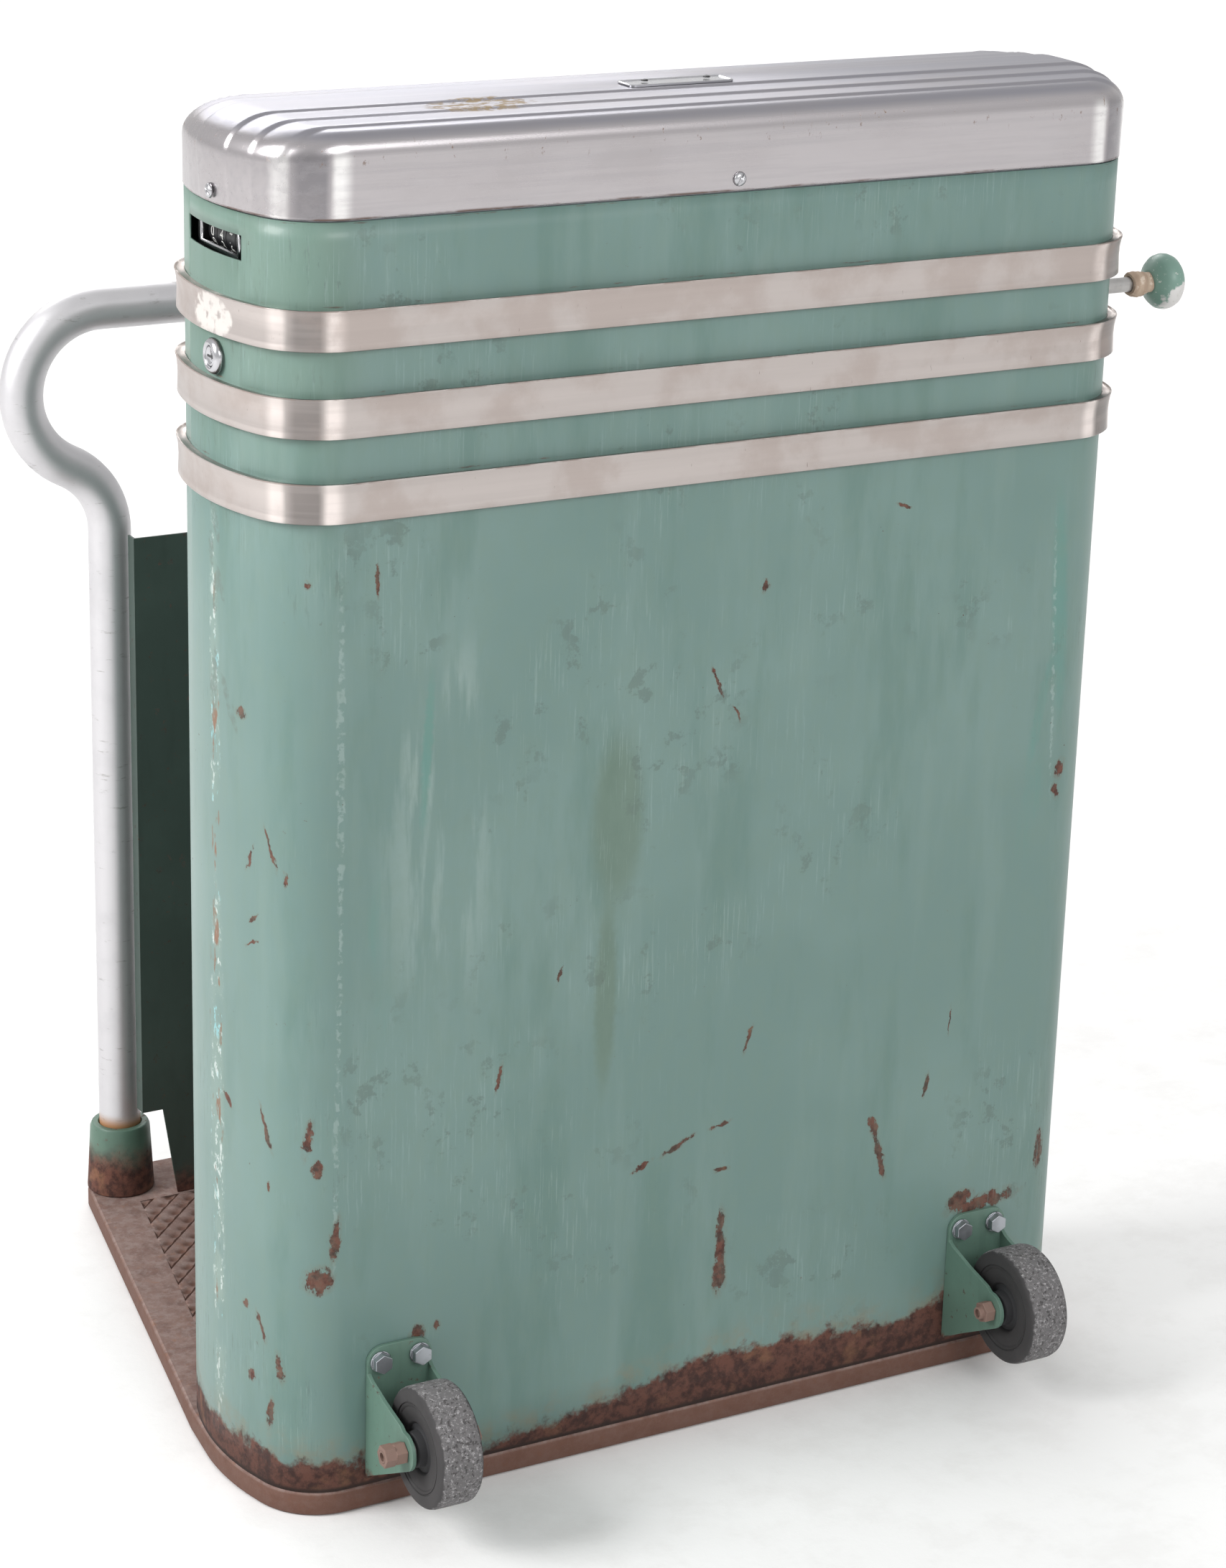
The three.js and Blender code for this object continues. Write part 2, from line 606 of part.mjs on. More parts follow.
// Tube open at the hub end and closed by a domed tip.
const armProfile = [
  [arm.radius - 1.6, arm.start], [arm.radius, arm.start], [arm.radius, arm.length],
  [arm.radius * 0.75, arm.length + 5.5], [0, arm.length + 8], [0, arm.length - 3],
  [arm.radius - 1.6, arm.length - 3], [arm.radius - 1.6, arm.start],
];

function ratchetWheel(teeth) {
  const points = [];
  for (let i = 0; i < teeth; i++) {
    const start = (360 / teeth) * i * DEG;
    points.push([33 * Math.cos(start), 33 * Math.sin(start)]);
    const end = start + (330 / teeth) * DEG;
    points.push([27 * Math.cos(end), 27 * Math.sin(end)]);
  }
  return prism(points, 92, 99, [circle(0, 0, 10 + GAP, 16)]);
}

const pawlPivot = [46, -14];
const pawlShape = [[52, -16], [51, -8], [47, -5], [40, 4], [34.6, 8], [33.9, 5.5], [38.5, -2], [40.5, -14],
  [46, -20]];
const postSpots = [[-52, -30], [52, -30], [-52, 27], [52, 27]];
const plateFace = [118, 123];

function pawlSpring() {
  const turns = 2;
  const steps = 18;
  const rings = Array.from({ length: steps + 1 }, (_, i) => {
    const angle = (turns * 2 * Math.PI * i) / steps;
    const height = 103 + (9 * i) / steps;
    return Array.from({ length: 6 }, (_, k) => {
      const around = (2 * Math.PI * k) / 6;
      const radius = 6 + 0.8 * Math.cos(around);
      return [pawlPivot[0] + radius * Math.cos(angle), pawlPivot[1] + radius * Math.sin(angle),
        height + 0.8 * Math.sin(around)];
    });
  });
  return loft(rings.reverse());
}

function mechanismFrame() {
  const face = box(-60, 60, -42, 38, ...plateFace);
  const postFoot = head.wall + 2 * GAP;
  const posts = postSpots.map(([x, y]) => rod(5, postFoot, plateFace[0] + 1, 10).translate(x, y, 0));
  const bearingSeat = rod(16 + GAP, 100, 140, 20);
  const pinHole = rod(3, 100, 140, 10).translate(...pawlPivot, 0);
  return cut(join(face, ...posts), bearingSeat, pinHole);
}

place('head_housing', headHousing(), castAluminium);
place('rotor_hub', rotorHub(), castAluminium, tilted);
armSpots.forEach((spoke, i) => {
  place(`rotor_arm_${i + 1}`, onArm(turned(armProfile, 16), spoke), chrome, tilted);
});
place('rotor_shaft', turned([[0, -17], [10, -17], [10, 130], [8, 132], [0, 132]], 20), steel, tilted);
place('bearing_front', turned([[10 + GAP, 0.5], [16, 0.5], [16, 6.6], [21, 6.6], [21, 11], [10 + GAP, 11],
  [10 + GAP, 0.5]], 20), bronze, tilted);
place('bearing_rear', tube(16, 10 + GAP, 113, 124, 20), bronze, tilted);
place('shaft_collar', tube(15, 10 + GAP, 124.5, 130, 20), steel, tilted);
place('ratchet_wheel', ratchetWheel(12), steel, tilted);
place('pawl', prism(pawlShape, 92.5, 98.5, [circle(...pawlPivot, 3.3, 12)]), steel, tilted);
place('pawl_pin', rod(2.7, 90, 117.5, 12).translate(...pawlPivot, 0), steel, tilted);
place('pawl_spring', pawlSpring(), steel, tilted);
place('mechanism_frame', mechanismFrame(), zincPlate, tilted);

// ---------------------------------------------------------------- passage register behind the end window
const registerY = (i) => register.firstY - register.pitch * i;
const registerBox = { front: -329.2, back: -297.2, low: -32.5, high: 30.3, bottom: 880, top: 912 };

function registerCase() {
  const { front, back, low, high, bottom, top } = registerBox;
  const outer = box(front, back, low, high, bottom, top);
  const hollow = box(front - 5, back - 1.5, low + 1.5, high - 1.5, bottom + 1.5, top - 1.5);
  const bore = towardY(rod(2.8, -70, 40, 10)).translate(register.x, 0, register.z);
  return cut(outer, hollow, bore);
}

function registerBezel() {
  const points = [[-34, 886.5], [32.4, 886.5], [32.4, 907], [-34, 907]];
  const opening = [[-30.5, 890.3], [-30.5, 903.4], [27.5, 903.4], [27.5, 890.3]];
  return prismAlongX(points, registerBox.front - 2.8, registerBox.front - GAP, [opening]);
}

// Shelf under the case with a tongue that turns down against the straight part of the outer wall.
function registerBracket() {
  const wallY = -halfWidth + cabinet.wall + GAP;
  const shelfTop = registerBox.bottom - GAP;
  const tongue = { left: -280, right: -262 };
  return join(box(-322, tongue.right, -36, 30, shelfTop - 2, shelfTop),
    box(tongue.left, tongue.right, wallY, -35, shelfTop - 2, shelfTop),
    box(tongue.left, tongue.right, wallY, wallY + 2, shelfTop - 22, shelfTop));
}

const digitWheel = () => tube(register.wheelRadius, 2.8, -6.9, 6.9, 30);

place('register_case', registerCase(), blackEnamel);
place('register_bezel', registerBezel(), chrome);
place('register_bracket', registerBracket(), zincPlate);
place('register_shaft', towardY(rod(2.5, -35.5, 33.5, 10)).translate(register.x, 0, register.z), steel);
for (let i = 0; i < register.wheelCount; i++) {
  const wheel = towardY(digitWheel()).translate(register.x, registerY(i), register.z);
  place(`digit_wheel_${i + 1}`, wheel, blackEnamel);
}

// ---------------------------------------------------------------- key lock in the same end
// Profiles along the outward direction, with the outer face of the wall at zero.
const lockProfile = [[6.8, -22], [lock.barrelRadius, -22], [lock.barrelRadius, 0.6], [lock.flangeRadius, 0.6],
  [lock.flangeRadius, 2.6], [10.2, 4.8], [8.2, 5.2], [6.8, 4.6], [6.8, -22]];

function lockPlug() {
  const body = turned([[0, -24], [lock.plugRadius, -24], [lock.plugRadius, 3.6], [5.6, 4.2], [0, 4.2]], 20);
  return cut(body, box(-4.2, 4.2, -0.8, 0.8, 1, 6).rotateZ(90 * DEG));
}

function lockCam() {
  const tongue = [
    ...arc(0, 0, 7, 0, 180 * DEG, 6), [-4, -26], ...arc(0, -28, 4, 180 * DEG, 360 * DEG, 4), [4, -26],
  ];
  return prism(tongue, -26.6, -24.3).rotateZ(90 * DEG);
}

const onLock = (geometry) => towardMinusX(geometry).translate(-halfLength, lock.y, lock.z);
place('lock_body', onLock(turned(lockProfile, 24)), chrome);
place('lock_plug', onLock(lockPlug()), chrome);
place('lock_cam', onLock(lockCam()), steel);

// ---------------------------------------------------------------- pull rod with its knob in the other end
const knobProfile = [[0, 0], [9, 0], [11.5, 1.5], [17.5, 5], [20, 9], [pull.knobRadius, 13], [19, 18],
  [15, 21.6], [8, 23.6], [0, pull.knobDepth]];
const collarProfile = [[pull.rodRadius + GAP, -18], [8.5, -18], [9.6, -13], [8.6, -8], [9.4, -1.5], [9, -0.4],
  [pull.rodRadius + GAP, -0.4], [pull.rodRadius + GAP, -18]];

const onPull = (geometry, x) => towardX(geometry).translate(x, pull.y, pull.z);
place('pull_rod', onPull(rod(pull.rodRadius, pull.innerX, pull.knobX - 0.3, 14), 0), steel);
place('knob_collar', onPull(turned(collarProfile, 18), pull.knobX), surface(0xb09a80, 0.8, 0));
place('knob', onPull(turned(knobProfile, 28), pull.knobX), greenPaint);
place('rod_bush', onPull(tube(9, pull.rodRadius + 0.5, -15, -3.5, 16), endX(pull.y)), bronze);

export default turnstile;
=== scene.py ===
"""Looks of the portable turnstile: finer skins, worn paint, rust, brushed steel and a soft studio."""

import math

import bmesh
import bpy
from mathutils import Matrix, Vector


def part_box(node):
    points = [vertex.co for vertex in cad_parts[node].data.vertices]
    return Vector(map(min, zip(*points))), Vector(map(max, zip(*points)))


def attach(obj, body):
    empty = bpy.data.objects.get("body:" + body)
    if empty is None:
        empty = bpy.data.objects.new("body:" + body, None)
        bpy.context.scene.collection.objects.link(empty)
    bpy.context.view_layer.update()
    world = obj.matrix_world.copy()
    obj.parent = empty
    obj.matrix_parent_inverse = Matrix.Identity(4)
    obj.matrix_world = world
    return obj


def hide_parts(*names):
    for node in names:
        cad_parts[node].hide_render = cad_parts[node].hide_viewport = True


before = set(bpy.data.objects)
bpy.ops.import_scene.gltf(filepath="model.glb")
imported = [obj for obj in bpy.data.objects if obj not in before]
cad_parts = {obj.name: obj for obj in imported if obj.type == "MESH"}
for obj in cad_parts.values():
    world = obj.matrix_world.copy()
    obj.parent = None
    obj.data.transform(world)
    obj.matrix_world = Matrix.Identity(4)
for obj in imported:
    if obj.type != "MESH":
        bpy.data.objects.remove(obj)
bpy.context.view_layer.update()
scene = bpy.context.scene
MM = 0.001

# ------------------------------------------------------------------ sizes from the frame, in millimetres


def node_box(name):
    low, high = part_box(name)
    return low / MM, high / MM


shell_low, shell_high = node_box("cabinet_shell")
HALF_LENGTH = shell_high.x
HALF_WIDTH = shell_high.y
SEAM = shell_high.z
FLOOR = shell_low.z
CORNER = 50
BULGE = 57
WALL = 1.6
CAP_PROUD = 0.6
CAP_SKIRT = 961
CAP_TOP = 976
CAP_STEP = 1.6
CAP_BOTTOM = 921.2
CAP_FRONT_RADIUS = 13
CAP_REAR_RADIUS = 45
CAP_END_RADIUS = 36
CAP_REAR_DROP = 10
CAP_END_DROP = 6
BAND_OPENING = 81
CAP_PANELS = (67.5, 44.5, 20.5)
CAP_MIDDLE = -10.5
WINDOW = (-43.5, 38.5, 889, 905.5)
LIP = 1.5


# ------------------------------------------------------------------ sketches
def arc(cx, cy, radius, start, stop, steps):
    angles = [start + (stop - start) * i / steps for i in range(steps + 1)]
    return [(cx + radius * math.cos(a), cy + radius * math.sin(a)) for a in angles]


CORNER_X = HALF_LENGTH - BULGE
CORNER_Y = HALF_WIDTH - CORNER
BOW_RADIUS = (BULGE**2 + CORNER_Y**2 - CORNER**2) / (2 * (BULGE - CORNER))
BOW_X = HALF_LENGTH - BOW_RADIUS
BOW_ANGLE = math.atan2(CORNER_Y, CORNER_X - BOW_X)


def end_outline(offset, corner_steps=14, bow_angles=None):
    """Right-hand end of the cabinet's plan, from the -Y side round to the +Y side."""
    angles = bow_angles or [BOW_ANGLE * (i / 10 - 1) for i in range(21)]
    bow = [
        (BOW_X + (BOW_RADIUS + offset) * math.cos(a), (BOW_RADIUS + offset) * math.sin(a))
        for a in angles
    ]
    first = arc(CORNER_X, -CORNER_Y, CORNER + offset, -math.pi / 2, -BOW_ANGLE, corner_steps)
    second = arc(CORNER_X, CORNER_Y, CORNER + offset, BOW_ANGLE, math.pi / 2, corner_steps)
    return first + bow[1:-1] + second


def outline(offset, corner_steps=14, bow_angles=None):
    right = end_outline(offset, corner_steps, bow_angles)
    return right + [(-x, -y) for x, y in right]


def smoothstep(low, high, value):
    t = min(1, max(0, (value - low) / (high - low)))
    return t * t * (3 - 2 * t)


# ------------------------------------------------------------------ meshes
def piece(name, verts, faces, material, body="frame", replaced=(), sharp=35):
    """A mesh piece given in millimetres, shaded smooth except across sharp edges."""
    mesh = bpy.data.meshes.new(name)
    mesh.from_pydata([Vector(v) * MM for v in verts], [], faces)
    grid = bmesh.new()
    grid.from_mesh(mesh)
    bmesh.ops.remove_doubles(grid, verts=grid.verts, dist=0.01 * MM)
    bmesh.ops.recalc_face_normals(grid, faces=grid.faces)
    grid.to_mesh(mesh)
    grid.free()
    return placed(name, mesh, material, body, replaced, sharp)


def placed(name, mesh, material, body, replaced, sharp):
    for polygon in mesh.polygons:
        polygon.use_smooth = True
    mesh.set_sharp_from_angle(angle=math.radians(sharp))
    mesh.materials.append(material)
    obj = bpy.data.objects.new(name, mesh)
    scene.collection.objects.link(obj)
    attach(obj, body)
    if replaced:
        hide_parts(*replaced)
    return obj


def bridge(rings, around=True, along=False):
    """Faces between rings of equal length; around closes each ring, along closes the stack."""
    size = len(rings[0])
    verts = [v for ring in rings for v in ring]
    faces = []
    for k in range(len(rings) if along else len(rings) - 1):
        low, high = k * size, ((k + 1) % len(rings)) * size
        for i in range(size if around else size - 1):
            j = (i + 1) % size
            faces.append((low + i, low + j, high + j, high + i))
    return verts, faces


def lathe(profile, steps=64):
    """Profile of (radius, distance) turned about +Z; radius 0 ends close on the axis."""
    rings = []
    for radius, z in profile:
        turn = [2 * math.pi * i / steps for i in range(steps)]
        rings.append([(radius * math.cos(a), radius * math.sin(a), z) for a in turn])
    return bridge(rings, along=profile[0][0] > 0)


def moved(verts, matrix):
    return [matrix @ Vector(v) for v in verts]


def shelled(obj, thickness, edge=0.0):
    solid = obj.modifiers.new("sheet", "SOLIDIFY")
    solid.thickness = thickness * MM
    solid.offset = -1
    if edge:
        rounded(obj, edge)


def rounded(obj, width, segments=2, angle=40):
    bevel = obj.modifiers.new("edges", "BEVEL")
    bevel.width = width * MM
    bevel.segments = segments
    bevel.limit_method = "ANGLE"
    bevel.angle_limit = math.radians(angle)
    bevel.harden_normals = True


def keep_node(name, material, edge=0.4):
    """Carries a CAD node over with rounded edges and its own material."""
    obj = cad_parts[name]
    custom = obj.data.attributes.get("custom_normal")
    if custom:
        obj.data.attributes.remove(custom)
    obj.data.materials.clear()
    obj.data.materials.append(material)
    for polygon in obj.data.polygons:
        polygon.use_smooth = True
    weld = obj.modifiers.new("weld", "WELD")
    weld.merge_threshold = 0.01 * MM
    if edge:
        rounded(obj, edge)
    else:
        obj.data.set_sharp_from_angle(angle=math.radians(40))


# ------------------------------------------------------------------ material layers
class Surface:
    """A material built as layers of colour, roughness, metal and height over object coordinates."""

    def __init__(self, name, color, roughness, metallic=0.0):
        self.material = bpy.data.materials.new(name)
        self.material.use_nodes = True
        self.tree = self.material.node_tree
        self.shader = self.tree.nodes["Principled BSDF"]
        self.place = self.tree.nodes.new("ShaderNodeTexCoord").outputs["Object"]
        self.x, self.y, self.z = self.node("SeparateXYZ", {0: self.place}, output=None).outputs
        self.color = color
        self.roughness = roughness
        self.metallic = metallic
        self.height = None

    def node(self, kind, inputs, output=0, **settings):
        node = self.tree.nodes.new("ShaderNode" + kind)
        for key, value in settings.items():
            setattr(node, key, value)
        for key, value in inputs.items():
            self.feed(node.inputs[key], value)
        return node if output is None else node.outputs[output]

    def feed(self, socket, value):
        if isinstance(value, bpy.types.NodeSocket):
            self.tree.links.new(value, socket)
        elif hasattr(value, "__len__") and len(value) == 3 and socket.type == "RGBA":
            socket.default_value = (*value, 1)
        else:
            socket.default_value = value

    def math(self, operation, a, b=0.0, clamp=False):
        return self.node("Math", {0: a, 1: b}, operation=operation, use_clamp=clamp)

    def product(self, *masks):
        result = masks[0]
        for mask in masks[1:]:
            result = self.math("MULTIPLY", result, mask)
        return result

    def most(self, *masks):
        result = masks[0]
        for mask in masks[1:]:
            result = self.math("MAXIMUM", result, mask)
        return result

    def ramp(self, value, low, high):
        """0 at low to 1 at high; low may be above high."""
        return self.node(
            "MapRange",
            {"Value": value, "From Min": low, "From Max": high},
            interpolation_type="SMOOTHSTEP",
        )

    def span(self, value, low, high):
        """Straight line from 0 at low to 1 at high."""
        return self.node("MapRange", {"Value": value, "From Min": low, "From Max": high})

    def noise(self, size, stretch=(1, 1, 1), detail=5, roughness=0.6, shift=0.0):
        """Noise with features of about that size in millimetres, longer where stretch is above 1."""
        scale = [1 / (size * MM * s) for s in stretch]
        spot = self.node(
            "Mapping", {"Vector": self.place, "Location": (shift, shift, shift), "Scale": scale}
        )
        return self.node(
            "TexNoise",
            {"Vector": spot, "Scale": 1.0, "Detail": detail, "Roughness": roughness},
        )

    def spot(self, centre, reach, tilt=(0, 0, 0), place=None):
        """1 at centre falling to 0 at the reach of an ellipsoid, in millimetres and degrees."""
        local = self.node(
            "Mapping",
            {
                "Vector": place or self.place,
                "Location": Vector(centre) * MM,
                "Rotation": [math.radians(t) for t in tilt],
                "Scale": Vector(reach) * MM,
            },
            vector_type="TEXTURE",
        )
        return self.node("TexGradient", {"Vector": local}, output=1, gradient_type="SPHERICAL")

    def mixed(self, mask, first, second):
        mix = self.node("Mix", {}, output=None, data_type="RGBA")
        for socket, value in zip([mix.inputs[i] for i in (0, 6, 7)], (mask, first, second)):
            self.feed(socket, value)
        return mix.outputs[2]

    def blended(self, mask, first, second):
        mix = self.node("Mix", {}, output=None, data_type="FLOAT")
        for socket, value in zip([mix.inputs[i] for i in (0, 2, 3)], (mask, first, second)):
            self.feed(socket, value)
        return mix.outputs[0]

    def layer(self, mask, color=None, roughness=None, metallic=None, height=None):
        """Lays a finish over what is there, where mask is 1. height is in millimetres."""
        if color is not None:
            self.color = self.mixed(mask, self.color, color)
        if roughness is not None:
            self.roughness = self.blended(mask, self.roughness, roughness)
        if metallic is not None and metallic != self.metallic:
            self.metallic = self.blended(mask, self.metallic, metallic)
        if height is not None:
            self.rise(self.math("MULTIPLY", mask, height))
        return self

    def rise(self, height):
        self.height = height if self.height is None else self.math("ADD", self.height, height)
        return self

    def rust(self, mask, height=0.5):
        """Crusted rust: brown and maroon scale with orange in its thin places."""
        scale = self.noise(9, detail=8, roughness=0.72)
        color = self.mixed(self.ramp(scale, 0.38, 0.6), (0.040, 0.014, 0.010), (0.125, 0.048, 0.032))
        thin = self.product(self.ramp(self.noise(26, detail=6, shift=3.1), 0.55, 0.72), 0.6)
        color = self.mixed(thin, color, (0.24, 0.115, 0.06))
        pits = self.math("MULTIPLY", self.noise(3.5, detail=6, roughness=0.75), height)
        return self.layer(mask, color, roughness=0.9, metallic=0.0).rise(
            self.math("MULTIPLY", mask, pits)
        )

    def done(self, **constants):
        self.feed(self.shader.inputs["Base Color"], self.color)
        self.feed(self.shader.inputs["Roughness"], self.roughness)
        self.feed(self.shader.inputs["Metallic"], self.metallic)
        for key, value in constants.items():
            self.shader.inputs[key.replace("_", " ")].default_value = value
        if self.height is not None:
            bump = self.node("Bump", {"Height": self.height, "Distance": MM, "Strength": 1.0})
            self.feed(self.shader.inputs["Normal"], bump)
        return self.material


# ------------------------------------------------------------------ cabinet paint
GREEN = (0.118, 0.198, 0.180)
GREEN_LIGHT = (0.138, 0.222, 0.203)
FRONT = -HALF_WIDTH

# Brown scratches and chips on the long face: x, z, half length, half width, tilt from upright.
FRONT_CHIPS = (
    (-262, 682, 2.2, 15, 88), (-2, 580, 17, 1.8, -22), (15, 555, 10, 1.3, -25), (-167, 313, 15, 2.4, 12),
    (34, 305, 15, 2.4, 16), (17, 206, 3, 9, 0), (18, 145, 36, 6, 0), (18, 120, 20, 8, 0),
    (153, 190, 26, 4, -14), (146, 214, 12, 5, -20), (191, 241, 14, 2.5, 10), (209, 290, 16, 0.9, 4),
    (-121, 381, 9, 1.4, 20), (250, 133, 42, 9, 84), (228, 138, 16, 10, 70), (-228, 129, 9, 8, 0),
    (-213, 132, 5, 4, 0), (294, 474, 11, 7, 10), (291, 457, 10, 4, -15), (300, 165, 20, 7, 0),
    (144, 690, 2, 9, 20), (33, 645, 6, 5, 0), (-291, 214, 24, 5, 6), (-302, 184, 15, 13, 20),
    (-309, 290, 20, 4, 6), (-303, 268, 9, 5, 0), (-50, 222, 3, 13, -28), (-22, 232, 3.5, 20, -24),
    (14, 242, 2.6, 13, -14), (-309, 684, 3.5, 3.5, 0),
)
# The same on the bowed end, by y instead of x.
END_CHIPS = (
    (-68, 498, 22, 1.8, -18), (-78, 478, 8, 2, 0), (-49, 486, 14, 2.4, 20), (-52, 444, 12, 2, 50),
    (-50, 425, 10, 1.8, 60), (-63, 293, 24, 2.4, -18), (-67, 76, 16, 4.5, 6), (-48, 99, 8, 5, 10),
    (-74, 113, 16, 4, -8), (-58, 140, 3, 16, 66), (-42, 152, 5, 5, 0), (-40, 586, 5, 8, 0),
    (-20, 300, 3, 10, 40), (-66, 250, 5, 2, 0),
)


# Soft marks on the long face: x, z, half length, half width and, where it has one, tilt from upright.
DRIPS = ((-78, 490, 80, 26), (-84, 360, 90, 11))
SCUFFS = ((-203, 585, 70, 24, 8), (-232, 545, 45, 16, -6), (-215, 480, 150, 60, 0))
TEAL_DABS = (
    (-256, 455, 55, 14, 4), (-256, 375, 40, 8, 0), (268, 440, 60, 12, 8), (284, 600, 110, 9, -4),
    (272, 520, 60, 6, 10), (-225, 560, 70, 5, 3),
)
PALE_LINES = ((-288, 560, 160, 3.2, 0), (-290, 320, 170, 2.2, 1), (281, 560, 130, 1.6, -3))
# Soft marks on the bowed end, by y instead of x.
FLAKED_LINES = ((-5, 560, 190, 6), (-4, 300, 240, 9), (-5, 130, 110, 8))
SMUDGES = (
    (-8, 712, 6, 22, 70), (-2, 690, 16, 5, -10), (-8, 660, 5, 20, 100), (-16, 668, 16, 4, -20),
    (-4, 596, 34, 7, 6), (-26, 588, 26, 5, -28),
)
# Heights under the lid and the bands where rust has gathered, and where the bands' lower lips are.
RUSTY_LEVELS = (SEAM - 1, 866, 809, 753)
BAND_LIPS = (864, 807, 751)
# Height of the rust along the foot of the long wall: x and height.
FOOT_RUST = (
    (-340, 44), (-235, 38), (-184, 25), (-108, 34), (-4, 56), (90, 58), (182, 46), (240, 72), (340, 60),
)


def on_front(surface, x, z, tall, wide, tilt, place):
    return surface.spot((x, FRONT, z), (wide, 60, tall), (0, tilt, 0), place)


def on_end(surface, y, z, tall, wide, tilt, place):
    return surface.spot((-HALF_LENGTH, y, z), (60, wide, tall), (tilt, 0, 0), place)


def ragged_place(surface, size, amount):
    """Object coordinates shaken by noise, for edges that are not smooth."""
    shake = surface.node(
        "TexNoise", {"Vector": surface.place, "Scale": 1 / (size * MM), "Detail": 4.0}, output=1
    )
    centred = surface.node("VectorMath", {0: shake, 1: (0.5, 0.5, 0.5)}, operation="SUBTRACT")
    scaled = surface.node("VectorMath", {0: centred, "Scale": 2 * amount * MM}, operation="SCALE")
    return surface.node("VectorMath", {0: surface.place, 1: scaled}, operation="ADD")


def faded(s, ragged):
    """Uneven colour, drips, scuffs and pale lines on the long face."""
    upright = s.noise(30, (1, 1, 9), detail=6)
    s.layer(s.ramp(s.noise(240, detail=3), 0.4, 0.65), GREEN_LIGHT)
    s.layer(s.product(s.ramp(upright, 0.5, 0.68), 0.4), (0.160, 0.240, 0.220), roughness=0.5)
    s.layer(s.product(s.ramp(s.noise(45, (1, 1, 5), shift=7.7), 0.5, 0.68), 0.6), (0.088, 0.165, 0.142))
    for x, z, tall, wide in DRIPS:
        drip = s.ramp(on_front(s, x, z, tall, wide, 0, ragged), 0.0, 0.5)
        s.layer(s.product(drip, 0.6), (0.090, 0.140, 0.095))
    streaks = s.ramp(s.noise(14, (1, 1, 10), detail=7, shift=1.3), 0.47, 0.62)
    for mark in SCUFFS:
        scuff = s.ramp(on_front(s, *mark, ragged), 0.0, 0.7)
        s.layer(s.product(scuff, streaks, 0.55), (0.24, 0.32, 0.30), roughness=0.6)
    for mark in TEAL_DABS:
        teal = s.ramp(on_front(s, *mark, ragged), 0.0, 0.6)
        s.layer(s.product(teal, s.ramp(upright, 0.4, 0.6), 0.7), (0.085, 0.215, 0.185))
    fine = s.ramp(s.noise(5, detail=5, shift=4.4), 0.45, 0.56)
    for mark in PALE_LINES:
        line = s.ramp(on_front(s, *mark, ragged), 0.05, 0.4)
        s.layer(s.product(line, fine, 0.42), (0.30, 0.38, 0.36), roughness=0.6)


def flaked(s, ragged):
    """Flaked line and dark remains on the bowed end."""
    flecks = s.ramp(s.noise(5, (1, 1, 1.8), detail=7, roughness=0.7, shift=9.2), 0.545, 0.60)
    gaps = s.ramp(s.noise(45, (1, 1, 1.5), detail=3, shift=17.0), 0.42, 0.55)
    for y, z, tall, wide in FLAKED_LINES:
        line = s.ramp(on_end(s, y, z, tall, 1.5 * wide, 0, ragged), 0.0, 0.5)
        s.layer(s.product(line, gaps, 0.35), (0.24, 0.31, 0.27), roughness=0.65)
        s.layer(s.product(line, flecks, s.ramp(gaps, 0.0, 0.6)), (0.46, 0.52, 0.50), roughness=0.65)
        cyan = s.ramp(s.noise(16, (1, 1, 2), shift=5.9), 0.56, 0.62)
        s.layer(s.product(line, flecks, cyan), (0.2, 0.46, 0.5))
        brown = s.ramp(s.noise(12, (1, 1, 3), shift=2.6), 0.6, 0.66)
        s.layer(s.product(line, brown), (0.2, 0.11, 0.07), roughness=0.8)
    for mark in SMUDGES:
        smudge = s.ramp(on_end(s, *mark, ragged), 0.1, 0.35)
        patches = s.ramp(s.noise(6, shift=8.1), 0.35, 0.6)
        s.layer(s.product(smudge, patches, 0.7), (0.115, 0.15, 0.135), roughness=0.7)


def chipped(s, ragged):
    """Chips down to rust, with a stained edge round each."""
    chips = s.most(
        *(on_front(s, *chip, ragged) for chip in FRONT_CHIPS),
        *(on_end(s, *chip, ragged) for chip in END_CHIPS),
    )
    patchy = s.noise(7, (1, 1, 2), detail=7, roughness=0.78, shift=6.5)
    broken = s.math("MULTIPLY", s.math("SUBTRACT", patchy, 0.5), 2.2)
    halo = s.ramp(chips, 0.0, 0.35)
    s.layer(s.product(halo, s.ramp(patchy, 0.35, 0.6), 0.6), (0.135, 0.115, 0.08))
    s.rust(s.product(s.ramp(s.math("ADD", chips, broken), 0.34, 0.46), s.ramp(chips, 0.02, 0.12)), 0.3)


